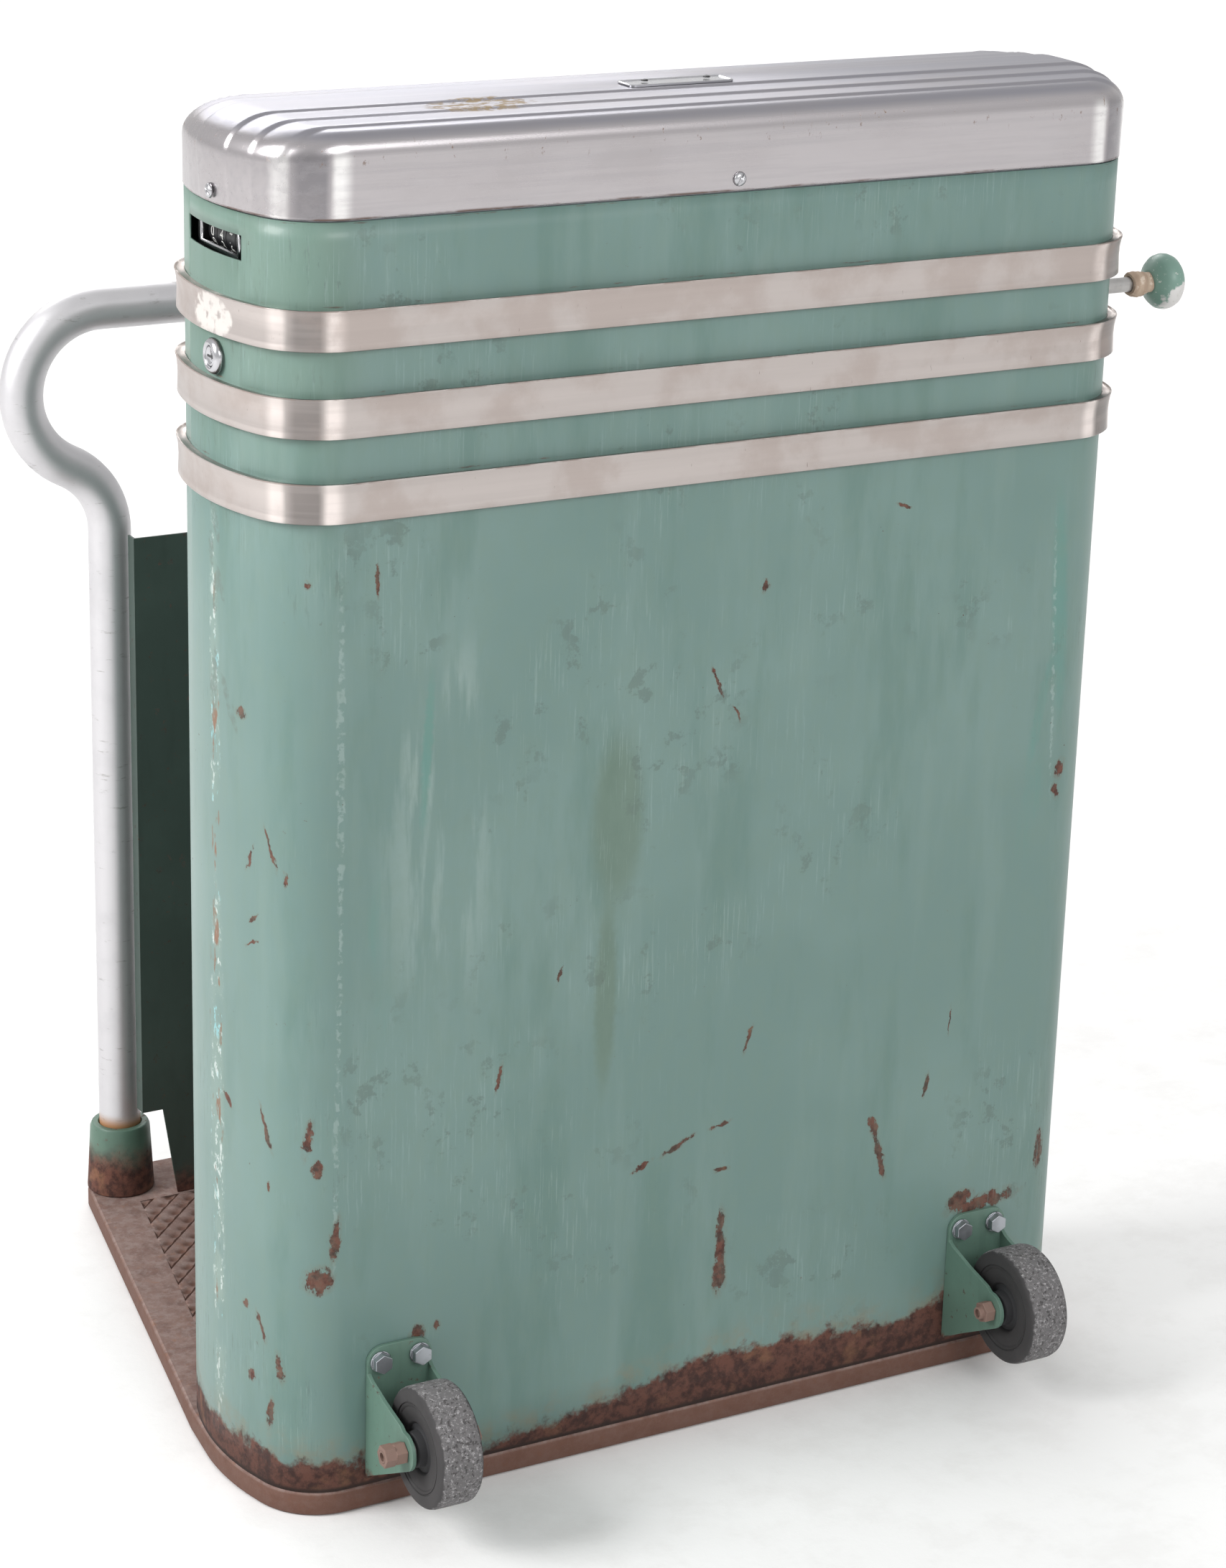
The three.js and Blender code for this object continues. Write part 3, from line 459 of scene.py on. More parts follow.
def scratched(s):
    """A yellower green tint at the upper left corner, then fine scratches, mottling and rust freckles."""
    bend = s.product(s.ramp(s.x, -0.262, -0.30), s.ramp(s.z, 0.70, 0.86))
    s.layer(s.product(bend, 0.45), (0.135, 0.21, 0.155))
    hairs = s.ramp(s.noise(3.2, (0.5, 0.5, 14), detail=6, roughness=0.7, shift=18.0), 0.56, 0.62)
    zones = s.ramp(s.noise(130, detail=4, shift=19.0), 0.48, 0.62)
    s.layer(s.product(hairs, zones, 0.45), (0.22, 0.31, 0.29), roughness=0.6)
    slants = s.noise(3.0, (9, 0.5, 9), detail=5, roughness=0.7, shift=20.0)
    s.layer(s.product(s.ramp(slants, 0.57, 0.63), zones, 0.5), (0.080, 0.115, 0.10), roughness=0.6)
    mottle = s.ramp(s.noise(16, (1, 1, 1.6), detail=8, roughness=0.72, shift=21.0), 0.40, 0.66)
    s.layer(s.product(mottle, 0.22), (0.135, 0.205, 0.16))
    freckles = s.product(
        s.ramp(s.noise(5, detail=3, roughness=0.7, shift=11.0), 0.70, 0.74),
        s.ramp(s.noise(120, shift=12.0), 0.5, 0.65),
    )
    s.rust(freckles, 0.2)


def rusted(s):
    """Rust under the lid and the bands, and the rusted foot of the wall."""
    speckle = s.noise(6, (4, 4, 1), detail=6, roughness=0.7, shift=13.0)
    for height in RUSTY_LEVELS:
        below = s.ramp(s.z, (height - 3) * MM, height * MM)
        near = s.product(below, s.ramp(s.z, (height + 3) * MM, height * MM))
        s.rust(s.product(s.ramp(s.product(near, speckle), 0.52, 0.66), 0.6), 0.15)
    edge = rust_edge(s)
    foot = s.ramp(s.math("SUBTRACT", edge, s.z), -0.004, 0.004)
    warm = s.ramp(s.math("SUBTRACT", edge, s.z), -0.030, 0.002)
    blotches = s.ramp(s.noise(18, shift=15.0), 0.4, 0.7)
    s.layer(s.product(warm, blotches, 0.5), (0.22, 0.16, 0.09), roughness=0.7)
    s.rust(foot, 0.9)
    s.layer(s.ramp(s.z, 0.0225, 0.0195), (0.03, 0.014, 0.010), roughness=0.95)


def cabinet_paint():
    s = Surface("cabinet_paint", GREEN, 0.42)
    ragged = ragged_place(s, 6, 3.0)
    faded(s, ragged)
    flaked(s, ragged)
    chipped(s, ragged)
    scratched(s)
    rusted(s)
    s.rise(s.math("MULTIPLY", s.noise(160, detail=2), 1.2))
    s.rise(s.math("MULTIPLY", s.noise(2.0, detail=3, shift=16.0), 0.012))
    return s.done(Coat_Weight=0.08)


def rust_edge(s):
    """Height in metres of the rust's wavy upper edge along the foot of the wall."""
    ramp = s.node("ValToRGB", {"Fac": s.span(s.x, -HALF_LENGTH * MM, HALF_LENGTH * MM)}, output=None)
    stops = ramp.color_ramp.elements
    while len(stops) < len(FOOT_RUST):
        stops.new(0.5)
    for stop, (x, z) in zip(stops, FOOT_RUST):
        stop.position = (x + HALF_LENGTH) / (2 * HALF_LENGTH)
        stop.color = (z / 100, z / 100, z / 100, 1)
    ripple = s.noise(22, detail=7, roughness=0.65, shift=14.0)
    wave = s.math("MULTIPLY", s.math("SUBTRACT", ripple, 0.5), 0.045)
    return s.math("ADD", s.math("MULTIPLY", ramp.outputs[0], 0.1), wave)


# ------------------------------------------------------------------ other materials
def painted(name, color, rust_from, rust_to, edge_rust=0.2):
    """Worn enamel that turns to rust between two heights in millimetres, going down."""
    s = Surface(name, color, 0.42)
    s.layer(s.product(s.ramp(s.noise(60, detail=5), 0.42, 0.65), 0.5), [c * 1.25 for c in color])
    s.layer(s.product(s.ramp(s.noise(14, (1, 1, 5), shift=2.0), 0.5, 0.7), 0.35), [c * 0.72 for c in color])
    if rust_from > rust_to:
        shaken = s.math("ADD", s.z, s.math("MULTIPLY", s.math("SUBTRACT", s.noise(20, detail=6), 0.5), 0.03))
        s.rust(s.ramp(shaken, rust_from * MM, rust_to * MM), 0.6)
    s.rust(s.product(s.ramp(s.noise(7, detail=6, roughness=0.7, shift=5.0), 0.62, 0.67), edge_rust * 4), 0.2)
    s.rise(s.math("MULTIPLY", s.noise(2.5, detail=4, shift=9.0), 0.03))
    return s.done()


def brushed(name, color, along, roughness=0.33, grime=0.45, lip_shadow_and_grime_heights=()):
    """Brushed stainless steel with its grain along one axis, grime and scattered marks, painted reflection
    streaks at the corners and a dark line along each lower lip that is partly painted shadow and partly
    grime.
    """
    s = Surface(name, color, roughness, metallic=1.0)
    # Painted reflections: dark and bright upright streaks round the corners.
    corner_streaks(s, [c * 0.40 for c in color], [min(1, c * 1.7) for c in color])
    grain = s.noise(1.2, along, detail=5, roughness=0.7)
    coarse = s.noise(7, along, detail=4, shift=3.0)
    duller = [c * 0.84 for c in color]
    s.layer(s.product(s.ramp(coarse, 0.42, 0.66), 0.25), duller, roughness=roughness + 0.08)
    cloud = s.ramp(s.noise(60, detail=7, shift=4.0), 0.44, 0.62)
    s.layer(s.product(cloud, grime), (color[0] * 0.78, color[1] * 0.70, color[2] * 0.66), roughness=0.5)
    nicks = s.product(s.ramp(s.noise(4, (0.5, 0.5, 3), detail=5, shift=6.0), 0.70, 0.74), 0.6)
    s.layer(nicks, (0.12, 0.08, 0.06), roughness=0.8, metallic=0.2)
    # Painted shadow and grime: a broken dark line just above each given height, along the bands' lower lips.
    for height in lip_shadow_and_grime_heights:
        above = s.ramp(s.z, (height - 0.2) * MM, (height + 0.6) * MM)
        lip = s.product(above, s.ramp(s.z, (height + 6) * MM, (height + 4) * MM))
        broken = s.ramp(s.noise(9, (3, 3, 1), detail=6, shift=7.0), 0.42, 0.56)
        s.layer(s.product(lip, broken, 0.7), (0.22, 0.17, 0.15), roughness=0.7, metallic=0.4)
    sticker = s.ramp(on_end(s, -16, 850, 15, 27, 0, ragged_place(s, 5, 2)), 0.0, 0.12)
    s.layer(s.product(sticker, s.ramp(s.noise(9, detail=6, shift=8.0), 0.38, 0.5), 0.8), (0.62, 0.59, 0.56),
            roughness=0.7, metallic=0.1)
    s.rise(s.math("MULTIPLY", grain, 0.02))
    return s.done(Anisotropic=0.35)


def polished(name, color, roughness, wear=0.2):
    s = Surface(name, color, roughness, metallic=1.0)
    dull = s.ramp(s.noise(12, detail=6), 0.45, 0.7)
    s.layer(s.product(dull, wear), [c * 0.7 for c in color], roughness=roughness + 0.25)
    spots = s.ramp(s.noise(3, detail=4, shift=2.0), 0.66, 0.72)
    s.layer(s.product(spots, wear), (0.1, 0.07, 0.05), roughness=0.8, metallic=0.2)
    s.rise(s.math("MULTIPLY", s.noise(2, detail=3), 0.008))
    return s.done()


def rusty_iron(name, color, pit_depth, dust=0.4):
    s = Surface(name, color, 0.88)
    s.rust(s.product(s.ramp(s.noise(18, detail=8, roughness=0.75, shift=1.0), 0.42, 0.62), 0.4), pit_depth)
    orange = s.ramp(s.noise(12, detail=8, roughness=0.75, shift=2.0), 0.54, 0.66)
    s.layer(s.product(orange, 0.5), (0.26, 0.115, 0.062))
    pale = s.ramp(s.noise(9, detail=8, roughness=0.75, shift=8.0), 0.44, 0.62)
    s.layer(s.product(pale, dust), (0.30, 0.235, 0.215))
    # Painted shade: from 17.8 mm down to 15.8 mm and below, the iron turns a dark rust brown, darkening the
    # tread's grooves and pits and everything low on the casting.
    s.layer(s.product(s.ramp(s.z, 0.0178, 0.0158), 0.8), (0.105, 0.044, 0.027))
    s.rise(s.math("MULTIPLY", s.noise(5, detail=8, roughness=0.75, shift=4.0), pit_depth))
    return s.done()


def wheel_rubber():
    """Dark rubber, ground down to pale specks round the tread."""
    s = Surface("wheel_rubber", (0.030, 0.028, 0.029), 0.75)
    axle_low, axle_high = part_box("axle_bolt_left")
    axle = (axle_low + axle_high) / 2
    dy, dz = s.math("SUBTRACT", s.y, axle.y), s.math("SUBTRACT", s.z, axle.z)
    reach = s.math("SQRT", s.math("ADD", s.product(dy, dy), s.product(dz, dz)))
    s.layer(s.product(s.ramp(s.noise(25, detail=5), 0.4, 0.7), 0.5), (0.048, 0.044, 0.045))
    ragged = s.math("ADD", reach, s.math("MULTIPLY", s.math("SUBTRACT", s.noise(6, detail=5), 0.5), 0.004))
    tread = s.ramp(ragged, 0.0418, 0.0430)
    s.layer(tread, (0.125, 0.12, 0.122), roughness=0.95)
    specks = s.noise(2.4, detail=6, roughness=0.75, shift=3.0)
    s.layer(s.product(tread, s.ramp(specks, 0.52, 0.62), 0.85), (0.34, 0.33, 0.335))
    holes = s.ramp(s.noise(2.8, detail=5, shift=5.0), 0.54, 0.62)
    s.layer(s.product(tread, holes, 0.85), (0.045, 0.042, 0.042))
    s.rise(s.product(tread, specks, 0.35))
    s.layer(s.ramp(reach, 0.0190, 0.0165), (0.02, 0.02, 0.022))
    s.rise(s.math("MULTIPLY", s.noise(1.2, detail=4, shift=6.0), 0.02))
    return s.done()


def rail_steel():
    s = Surface("rail_steel", (0.62, 0.61, 0.625), 0.46, metallic=0.85)
    s.layer(s.product(s.ramp(s.noise(35, detail=6), 0.45, 0.7), 0.3), (0.50, 0.495, 0.51), roughness=0.55)
    scuffs = s.ramp(s.noise(8, (3, 3, 0.6), detail=7, roughness=0.7, shift=2.0), 0.60, 0.68)
    s.layer(s.product(scuffs, 0.5), (0.30, 0.29, 0.28), roughness=0.6)
    s.layer(s.ramp(s.z, 0.088, 0.076), (0.40, 0.20, 0.09), roughness=0.8, metallic=0.1)
    s.rise(s.math("MULTIPLY", s.noise(3, detail=4, shift=4.0), 0.015))
    return s.done()


def corner_streaks(s, dark, bright):
    """Painted reflections: upright dark and bright streaks in the colour that follow the bend of the corners,
    standing in for the surroundings mirrored there.
    """
    upright = s.ramp(s.z, 0.970, 0.958)
    turn = s.math("SUBTRACT", s.math("ABSOLUTE", s.y), s.math("ABSOLUTE", s.x))
    wavy = s.math("ADD", turn, s.math("MULTIPLY", s.math("SUBTRACT", s.noise(60, (1, 1, 3)), 0.5), 0.012))
    painted_dark_reflection = s.product(s.ramp(wavy, -0.246, -0.226), s.ramp(wavy, -0.201, -0.208))
    s.layer(s.product(painted_dark_reflection, upright, 0.85), dark)
    painted_bright_reflection = s.product(s.ramp(wavy, -0.204, -0.198), s.ramp(wavy, -0.184, -0.194))
    s.layer(s.product(painted_bright_reflection, upright, 0.9), bright)
    far_painted_reflection = s.product(s.ramp(wavy, -0.262, -0.250), s.ramp(wavy, -0.236, -0.243))
    s.layer(s.product(far_painted_reflection, upright, 0.6), bright)


def cap_steel():
    """Brushed along its length, with a glue stain on the top and grime along the seam, painted reflection
    streaks at the corners and a top painted darker and bluer than the sides as shade.
    """
    s = Surface("cap_steel", (0.47, 0.445, 0.455), 0.25, metallic=1.0)
    # Painted shade: the top above the folds is darker and bluer than the sides, and rougher.
    s.layer(s.ramp(s.z, 0.9675, 0.9735), (0.33, 0.325, 0.36), roughness=0.42)
    # Painted reflections: dark and bright upright streaks round the corners.
    corner_streaks(s, (0.20, 0.195, 0.21), (0.90, 0.89, 0.88))
    grain = s.noise(1.2, (60, 1, 1), detail=5, roughness=0.7)
    coarse = s.ramp(s.noise(6, (30, 1, 1), detail=4, shift=3.0), 0.42, 0.66)
    s.layer(s.product(coarse, 0.3), (0.38, 0.365, 0.38), roughness=0.32)
    cloud = s.ramp(s.noise(90, (2, 1, 1), detail=6, shift=4.0), 0.45, 0.7)
    s.layer(s.product(cloud, 0.35), (0.36, 0.33, 0.33), roughness=0.36)
    stain = s.spot((-165, -42, CAP_TOP), (44, 20, 30), (0, 0, 0), ragged_place(s, 12, 9))
    flakes = s.ramp(s.noise(5, (1.5, 1, 1), detail=6, shift=5.0), 0.44, 0.56)
    glue = s.product(s.ramp(stain, 0.0, 0.3), flakes)
    s.layer(glue, (0.26, 0.20, 0.13), roughness=0.8, metallic=0.1)
    specks = s.ramp(s.noise(5, (1, 1, 2), detail=6, roughness=0.7, shift=6.0), 0.62, 0.68)
    crumbs = s.product(specks, s.ramp(s.z, 0.948, 0.962), s.ramp(s.z, 0.972, 0.964))
    s.layer(crumbs, (0.15, 0.09, 0.06), roughness=0.85, metallic=0.1)
    broken = s.ramp(s.noise(12, (3, 3, 1), detail=6, shift=8.0), 0.45, 0.6)
    seam = s.product(s.ramp(s.z, 0.9232, 0.9215), broken)
    s.layer(seam, (0.13, 0.085, 0.07), roughness=0.85, metallic=0.1)
    s.rise(s.math("MULTIPLY", grain, 0.018))
    return s.done(Anisotropic=0.3)


def plain(name, color, roughness, grain=2.0, depth=0.02, metallic=0.0):
    s = Surface(name, color, roughness, metallic)
    dull = s.ramp(s.noise(20, detail=6), 0.4, 0.7)
    s.layer(s.product(dull, 0.5), [c * 0.7 for c in color], roughness=min(1, roughness + 0.15))
    s.rise(s.math("MULTIPLY", s.noise(grain, detail=5, shift=3.0), depth))
    return s.done()


def knob_paint():
    """Green paint worn through to the metal on the lower outer side."""
    s = Surface("knob_paint", (0.16, 0.27, 0.225), 0.38)
    low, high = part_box("knob")
    spot = Vector((high.x - 0.006, low.y + 0.013, low.z + 0.012)) / MM
    worn = s.spot(spot, (17, 22, 17), place=ragged_place(s, 5, 4))
    s.layer(s.ramp(worn, 0.12, 0.2), (0.62, 0.61, 0.60), roughness=0.45, metallic=0.6)
    s.layer(s.product(s.ramp(s.noise(3, detail=5), 0.62, 0.68), 0.8), (0.55, 0.55, 0.52), roughness=0.6)
    s.rise(s.math("MULTIPLY", s.noise(3, detail=4), 0.03))
    return s.done()


def tape_cloth():
    s = Surface("tape_cloth", (0.43, 0.33, 0.25), 0.9)
    wave = {"Vector": s.place, "Scale": 40.0, "Distortion": 3.0}
    turns = s.node("TexWave", wave, output=1, bands_direction="X")
    s.layer(s.product(turns, 0.5), (0.26, 0.18, 0.13))
    s.layer(s.ramp(s.noise(6, detail=6), 0.55, 0.65), (0.55, 0.46, 0.38))
    s.rise(s.math("MULTIPLY", turns, 0.5))
    return s.done()


paint = cabinet_paint()
bracket_paint = painted("bracket_paint", (0.098, 0.172, 0.135), 34, 22)
dark_paint = painted("dark_paint", (0.040, 0.062, 0.052), 48, 22, 0.12)
socket_paint = painted("socket_paint", (0.075, 0.135, 0.10), 66, 38, 0.2)
iron = rusty_iron("base_iron", (0.215, 0.140, 0.120), 0.35, dust=0.5)
rim_rust = rusty_iron("foot_rust", (0.12, 0.05, 0.032), 0.4, dust=0.15)
cap_metal = cap_steel()
band_metal = brushed("band_steel", (0.50, 0.455, 0.435), (40, 40, 1), lip_shadow_and_grime_heights=BAND_LIPS)
rail_metal = rail_steel()
chrome = polished("bright_chrome", (0.52, 0.52, 0.54), 0.20)
zinc = polished("dull_zinc", (0.42, 0.44, 0.47), 0.42, wear=0.4)
steel = polished("machined_steel", (0.45, 0.44, 0.43), 0.38, wear=0.4)
rubber = wheel_rubber()
nut_brown = plain("nut_brown", (0.20, 0.125, 0.10), 0.65)
black = plain("black_enamel", (0.012, 0.012, 0.014), 0.4)
white_enamel = plain("digit_white", (0.75, 0.75, 0.72), 0.5, depth=0.004)
aluminium = plain("cast_aluminium", (0.52, 0.53, 0.54), 0.42, grain=1.6, depth=0.05, metallic=1.0)
bronze = polished("bearing_bronze", (0.48, 0.30, 0.12), 0.35)
green_knob = knob_paint()
tape = tape_cloth()


# ------------------------------------------------------------------ cabinet skin with its end window
def cabinet_skin():
    low, high, bottom, top = WINDOW
    edges = [math.asin(y / BOW_RADIUS) for y in (low, -high, high, -low)]
    steps = [edges[0] + (edges[3] - edges[0]) * i / 20 for i in range(21)]
    plan = outline(0, 14, sorted({-BOW_ANGLE, *edges, *steps, BOW_ANGLE}))
    levels = (FLOOR, 60, 300, 600, bottom, top, SEAM)
    verts, faces = bridge([[(x, y, z) for x, y in plan] for z in levels])

    def in_window(face):
        x, y, z = [sum(verts[i][k] for i in face) / 4 for k in range(3)]
        return x < -CORNER_X and low < y < high and bottom < z < top

    faces = [face for face in faces if not in_window(face)]
    skin = piece("cabinet_skin", verts, faces, paint, replaced=["cabinet_shell"])
    shelled(skin, WALL)


# ------------------------------------------------------------------ pressed cap with stepped panels
def panel_level(y):
    """Number of raised panels under a point, with softened steps."""
    return sum(smoothstep(-1.6, 1.6, half - abs(y - CAP_MIDDLE)) for half in CAP_PANELS)


def cap_ring(plan, reach, inset, z, rise=0.0, drop=0.0):
    ring = []
    for x, y in plan:
        end_share = max(0, abs(x) - CORNER_X) / BULGE
        radius = CAP_REAR_RADIUS if y > 0 else CAP_FRONT_RADIUS
        new_y = y * (1 - radius * inset / HALF_WIDTH)
        level = panel_level(new_y)
        new_x = abs(x) - (CAP_END_RADIUS * inset - reach * level) * end_share
        fold = drop * max(CAP_REAR_DROP * y / HALF_WIDTH, CAP_END_DROP * end_share)
        ring.append((math.copysign(new_x, x), new_y, z + rise * level - fold))
    return ring


def cap_skin():
    bow = [BOW_ANGLE * (i / 55 - 1) for i in range(111)]
    plan = outline(CAP_PROUD, 40, bow)
    rings = [cap_ring(plan, 0.2, 0, CAP_BOTTOM), cap_ring(plan, 0.25, 0, 923)]
    rings.append(cap_ring(plan, 0.65, 0, 942, drop=0.5))
    rings.append(cap_ring(plan, 1.1, 0, CAP_SKIRT - 1, drop=1))
    for step in range(1, 13):
        angle = math.pi / 2 * step / 12
        up = math.sin(angle)
        height = CAP_SKIRT + (CAP_TOP - CAP_SKIRT) * up
        rings.append(cap_ring(plan, 1.1, 1 - math.cos(angle), height, CAP_STEP * up, 1 - up))
    verts, faces = bridge(rings)
    start, end = (len(rings) - 1) * len(plan), len(plan) // 2
    for j in range(end - 1):
        left = start + 2 * end - 1 - j
        faces.append((start + j, start + j + 1, left - 1, left))
    skin = piece("cap_skin", verts, faces, cap_metal, replaced=["cap"], sharp=50)
    shelled(skin, 1.4)


# ------------------------------------------------------------------ bands
BAND_SECTION = (
    (0.3, 0.4), (1.2, 0), (5.2, 0), (5.8, 0.6), (5.6, 5), (5.3, 13), (5.7, 20), (6.6, 25.2), (7.0, 26.2),
    (6.8, 26.9), (6.1, 27), (4.6, 25.8), (0.3, 25.8),
)


def band(name, node, open_half=0):
    bottom = node_box(node)[0].z
    rings = []
    for offset, z in BAND_SECTION:
        right = end_outline(offset)
        left = [(-x, -y) for x, y in right]
        y = HALF_WIDTH + offset
        path = [(-open_half, y)] + left + right + [(open_half, y)] if open_half else right + left
        rings.append([(x, y, bottom + z) for x, y in path])
    verts, faces = bridge(rings, around=not open_half, along=True)
    if open_half:
        size, count = len(rings[0]), len(rings)
        faces.append([k * size for k in range(count)])
        faces.append([k * size + size - 1 for k in reversed(range(count))])
    piece(name, verts, faces, band_metal, replaced=[node], sharp=60)


# ------------------------------------------------------------------ rail
def rail_path(steps=28):
    """Centre line of the whole rail as (x, z, direction), from the right socket to the left one."""
    post, bend, back, bend_x, top = 238, 64, 60, 243.5, 754
    turn_x = back - (bend_x - post)
    drop = math.sqrt((bend + back) ** 2 - turn_x**2)
    meet = math.atan2(drop, turn_x)
    loop_z = top - bend
    left = []
    for i in range(steps + 1):
        angle = math.pi / 2 + (math.pi / 2 + meet) * i / steps
        left.append((-bend_x + bend * math.cos(angle), loop_z + bend * math.sin(angle), angle))
    for i in range(1, steps // 2 + 1):
        angle = meet * (1 - i / (steps // 2))
        x = -post - back + back * math.cos(angle)
        left.append((x, loop_z - drop + back * math.sin(angle), angle + math.pi))
    left.append((-post, 20, math.pi))
    right = [(-x, z, math.pi - angle) for x, z, angle in reversed(left)]
    return right + left


def rail_skin():
    low, high = node_box("rail_tube")
    y = (low.y + high.y) / 2
    radius = (high.y - low.y) / 2
    rings = []
    for x, z, angle in rail_path():
        ring = []
        for i in range(32):
            turn = 2 * math.pi * i / 32
            out = radius * math.cos(turn)
            ring.append((x + out * math.cos(angle), y + radius * math.sin(turn), z + out * math.sin(angle)))
        rings.append(ring)
    verts, faces = bridge(rings)
    faces.append(list(range(32)))
    faces.append([len(verts) - 1 - i for i in range(32)])
    piece("rail_skin", verts, faces, rail_metal, replaced=["rail_tube"], sharp=50)


# ------------------------------------------------------------------ base casting and its tread
def base_outline(inset):
    front = [(x, y) for x, y in end_outline(LIP - inset) if y < 30]
    straight = (HALF_LENGTH - 4 - inset, 60)
    turn = math.atan2(HALF_LENGTH - 4 - 266, 435 - 60)
    corner = arc(230, 435, 36 - inset, turn, math.pi / 2, 12)
    right = front + [straight] + corner
    return right + [(-x, y) for x, y in reversed(right)]


TREAD = ((-296, 101), (296, 101), (236, 402), (-236, 402))


def base_slab():
    """Casting with a softened rim and a shallow pocket that holds the tread."""
    sections = ((3, 0), (0.8, 1.2), (0, 3), (0, 14.6), (0.6, 16.8), (2.2, 18))
    rings = [[(x, y, z) for x, y in base_outline(inset)] for inset, z in sections]
    grid = bmesh.new()
    loops = [[grid.verts.new(Vector(v) * MM) for v in ring] for ring in rings]
    pocket = [[grid.verts.new(Vector((x, y, z)) * MM) for x, y in TREAD] for z in (18, 15)]
    for low, high in [*zip(loops, loops[1:]), pocket]:
        for i in range(len(low)):
            j = (i + 1) % len(low)
            grid.faces.new((low[i], low[j], high[j], high[i]))
    grid.faces.new(loops[0])
    grid.faces.new(pocket[1])
    holes = (loops[-1], pocket[0])
    rim = [grid.edges.get((loop[i - 1], loop[i])) for loop in holes for i in range(len(loop))]
    bmesh.ops.triangle_fill(grid, edges=rim, use_beauty=True)
    bmesh.ops.recalc_face_normals(grid, faces=grid.faces)
    mesh = bpy.data.meshes.new("base_slab")
    grid.to_mesh(mesh)
    grid.free()
    placed("base_slab", mesh, iron, "frame", ["base_plate"], 30)


TREAD_PITCH = 22 / math.sqrt(2)
TREAD_PHASE = 7.3
PIT_STEP = 14.6


def tread_height(across, along):
    """Sloping ribs with a groove between them and a row of round pits along each rib."""
    share = (across - TREAD_PHASE) % TREAD_PITCH
    z = 15.9 + 2.3 * smoothstep(0.6, 1.8, share) - 2.3 * smoothstep(TREAD_PITCH - 0.5, TREAD_PITCH, share)
    near = (along + 0.3 * across + PIT_STEP / 2) % PIT_STEP - PIT_STEP / 2
    pit = math.hypot(near, share - 5.0) / 3.6
    return max(15.5, z - 0.9 * smoothstep(14, 3, share) - 2.2 * math.exp(-pit * pit))


def tread_ribs():
    """Diagonal ribs of the casting, cut to the pocket's shape."""
    across_steps = (0.3, 1.2, 2.0, 3.6, 4.8, 6.0, 7.4, 9.0, 12.0, 14.8)
    rings = []
    for k in range(-10, 29):
        for offset in across_steps:
            across = TREAD_PHASE + k * TREAD_PITCH + offset
            line = []
            for i in range(-60, 190):
                along = i * PIT_STEP / 6
                u, v = along / math.sqrt(2), across / math.sqrt(2)
                line.append((u - v, u + v, tread_height(across, along)))
            rings.append(line)
    verts, faces = bridge(rings, around=False)
    grid = bmesh.new()
    points = [grid.verts.new(Vector(v) * MM) for v in verts]
    for face in faces:
        grid.faces.new([points[i] for i in face])
    centre = Vector((0, 250, 0))
    for (x0, y0), (x1, y1) in zip(TREAD, TREAD[1:] + TREAD[:1]):
        normal = Vector((y1 - y0, x0 - x1, 0)).normalized()
        if normal.dot(Vector((x0, y0, 0)) - centre) < 0:
            normal.negate()
        bmesh.ops.bisect_plane(
            grid, geom=grid.verts[:] + grid.edges[:] + grid.faces[:],
            plane_co=Vector((x0, y0, 0)) * MM, plane_no=normal, clear_outer=True,
        )
    mesh = bpy.data.meshes.new("tread_ribs")
    grid.to_mesh(mesh)
    grid.free()
    ribs = placed("tread_ribs", mesh, iron, "frame", (), 50)
    shelled(ribs, 0.4)


# ------------------------------------------------------------------ wheels, knob and collar
WHEEL_FACE = (
    (8.2, 19.2), (11.6, 19.2), (12.6, 18.4), (13.4, 13.4), (14.6, 12.4), (17.4, 12.2), (18.6, 13.6),
    (19.6, 14.2), (29.6, 14.6), (30.2, 15.3), (31.6, 15.6), (32.0, 15.0), (32.6, 15.0), (33.0, 15.9),
    (39.4, 16), (41.4, 15.4), (42.8, 13.9), (43.4, 11.5), (43.5, 6),
)
# Radius and distance out from the collar.
KNOB_PROFILE = (
    (0, 0), (8.6, 0), (9.4, 0.4), (11.5, 1.6), (17, 4.6), (19.6, 8), (20.5, 12), (20.2, 15), (18.8, 18.3),
    (16, 21), (12, 22.9), (7, 23.8), (0, 24),
)
ALONG_X = Matrix.Rotation(math.pi / 2, 4, "Y")


def wheel(side):
    low, high = node_box(f"wheel_{side}")
    centre = (low + high) / 2
    profile = [(r, -x) for r, x in WHEEL_FACE] + [(r, x) for r, x in reversed(WHEEL_FACE)]
    verts, faces = lathe(profile, 72)
    verts = moved(verts, Matrix.Translation(centre) @ ALONG_X)
    piece(f"tyre_{side}", verts, faces, rubber, f"wheel_{side}", [f"wheel_{side}"], sharp=40)


def knob():
    low, high = node_box("knob")
    centre = Vector((low.x, (low.y + high.y) / 2, (low.z + high.z) / 2))
    verts, faces = lathe(KNOB_PROFILE, 56)
    verts = moved(verts, Matrix.Translation(centre) @ ALONG_X)
    piece("knob_skin", verts, faces, green_knob, "pull", ["knob"], 60)


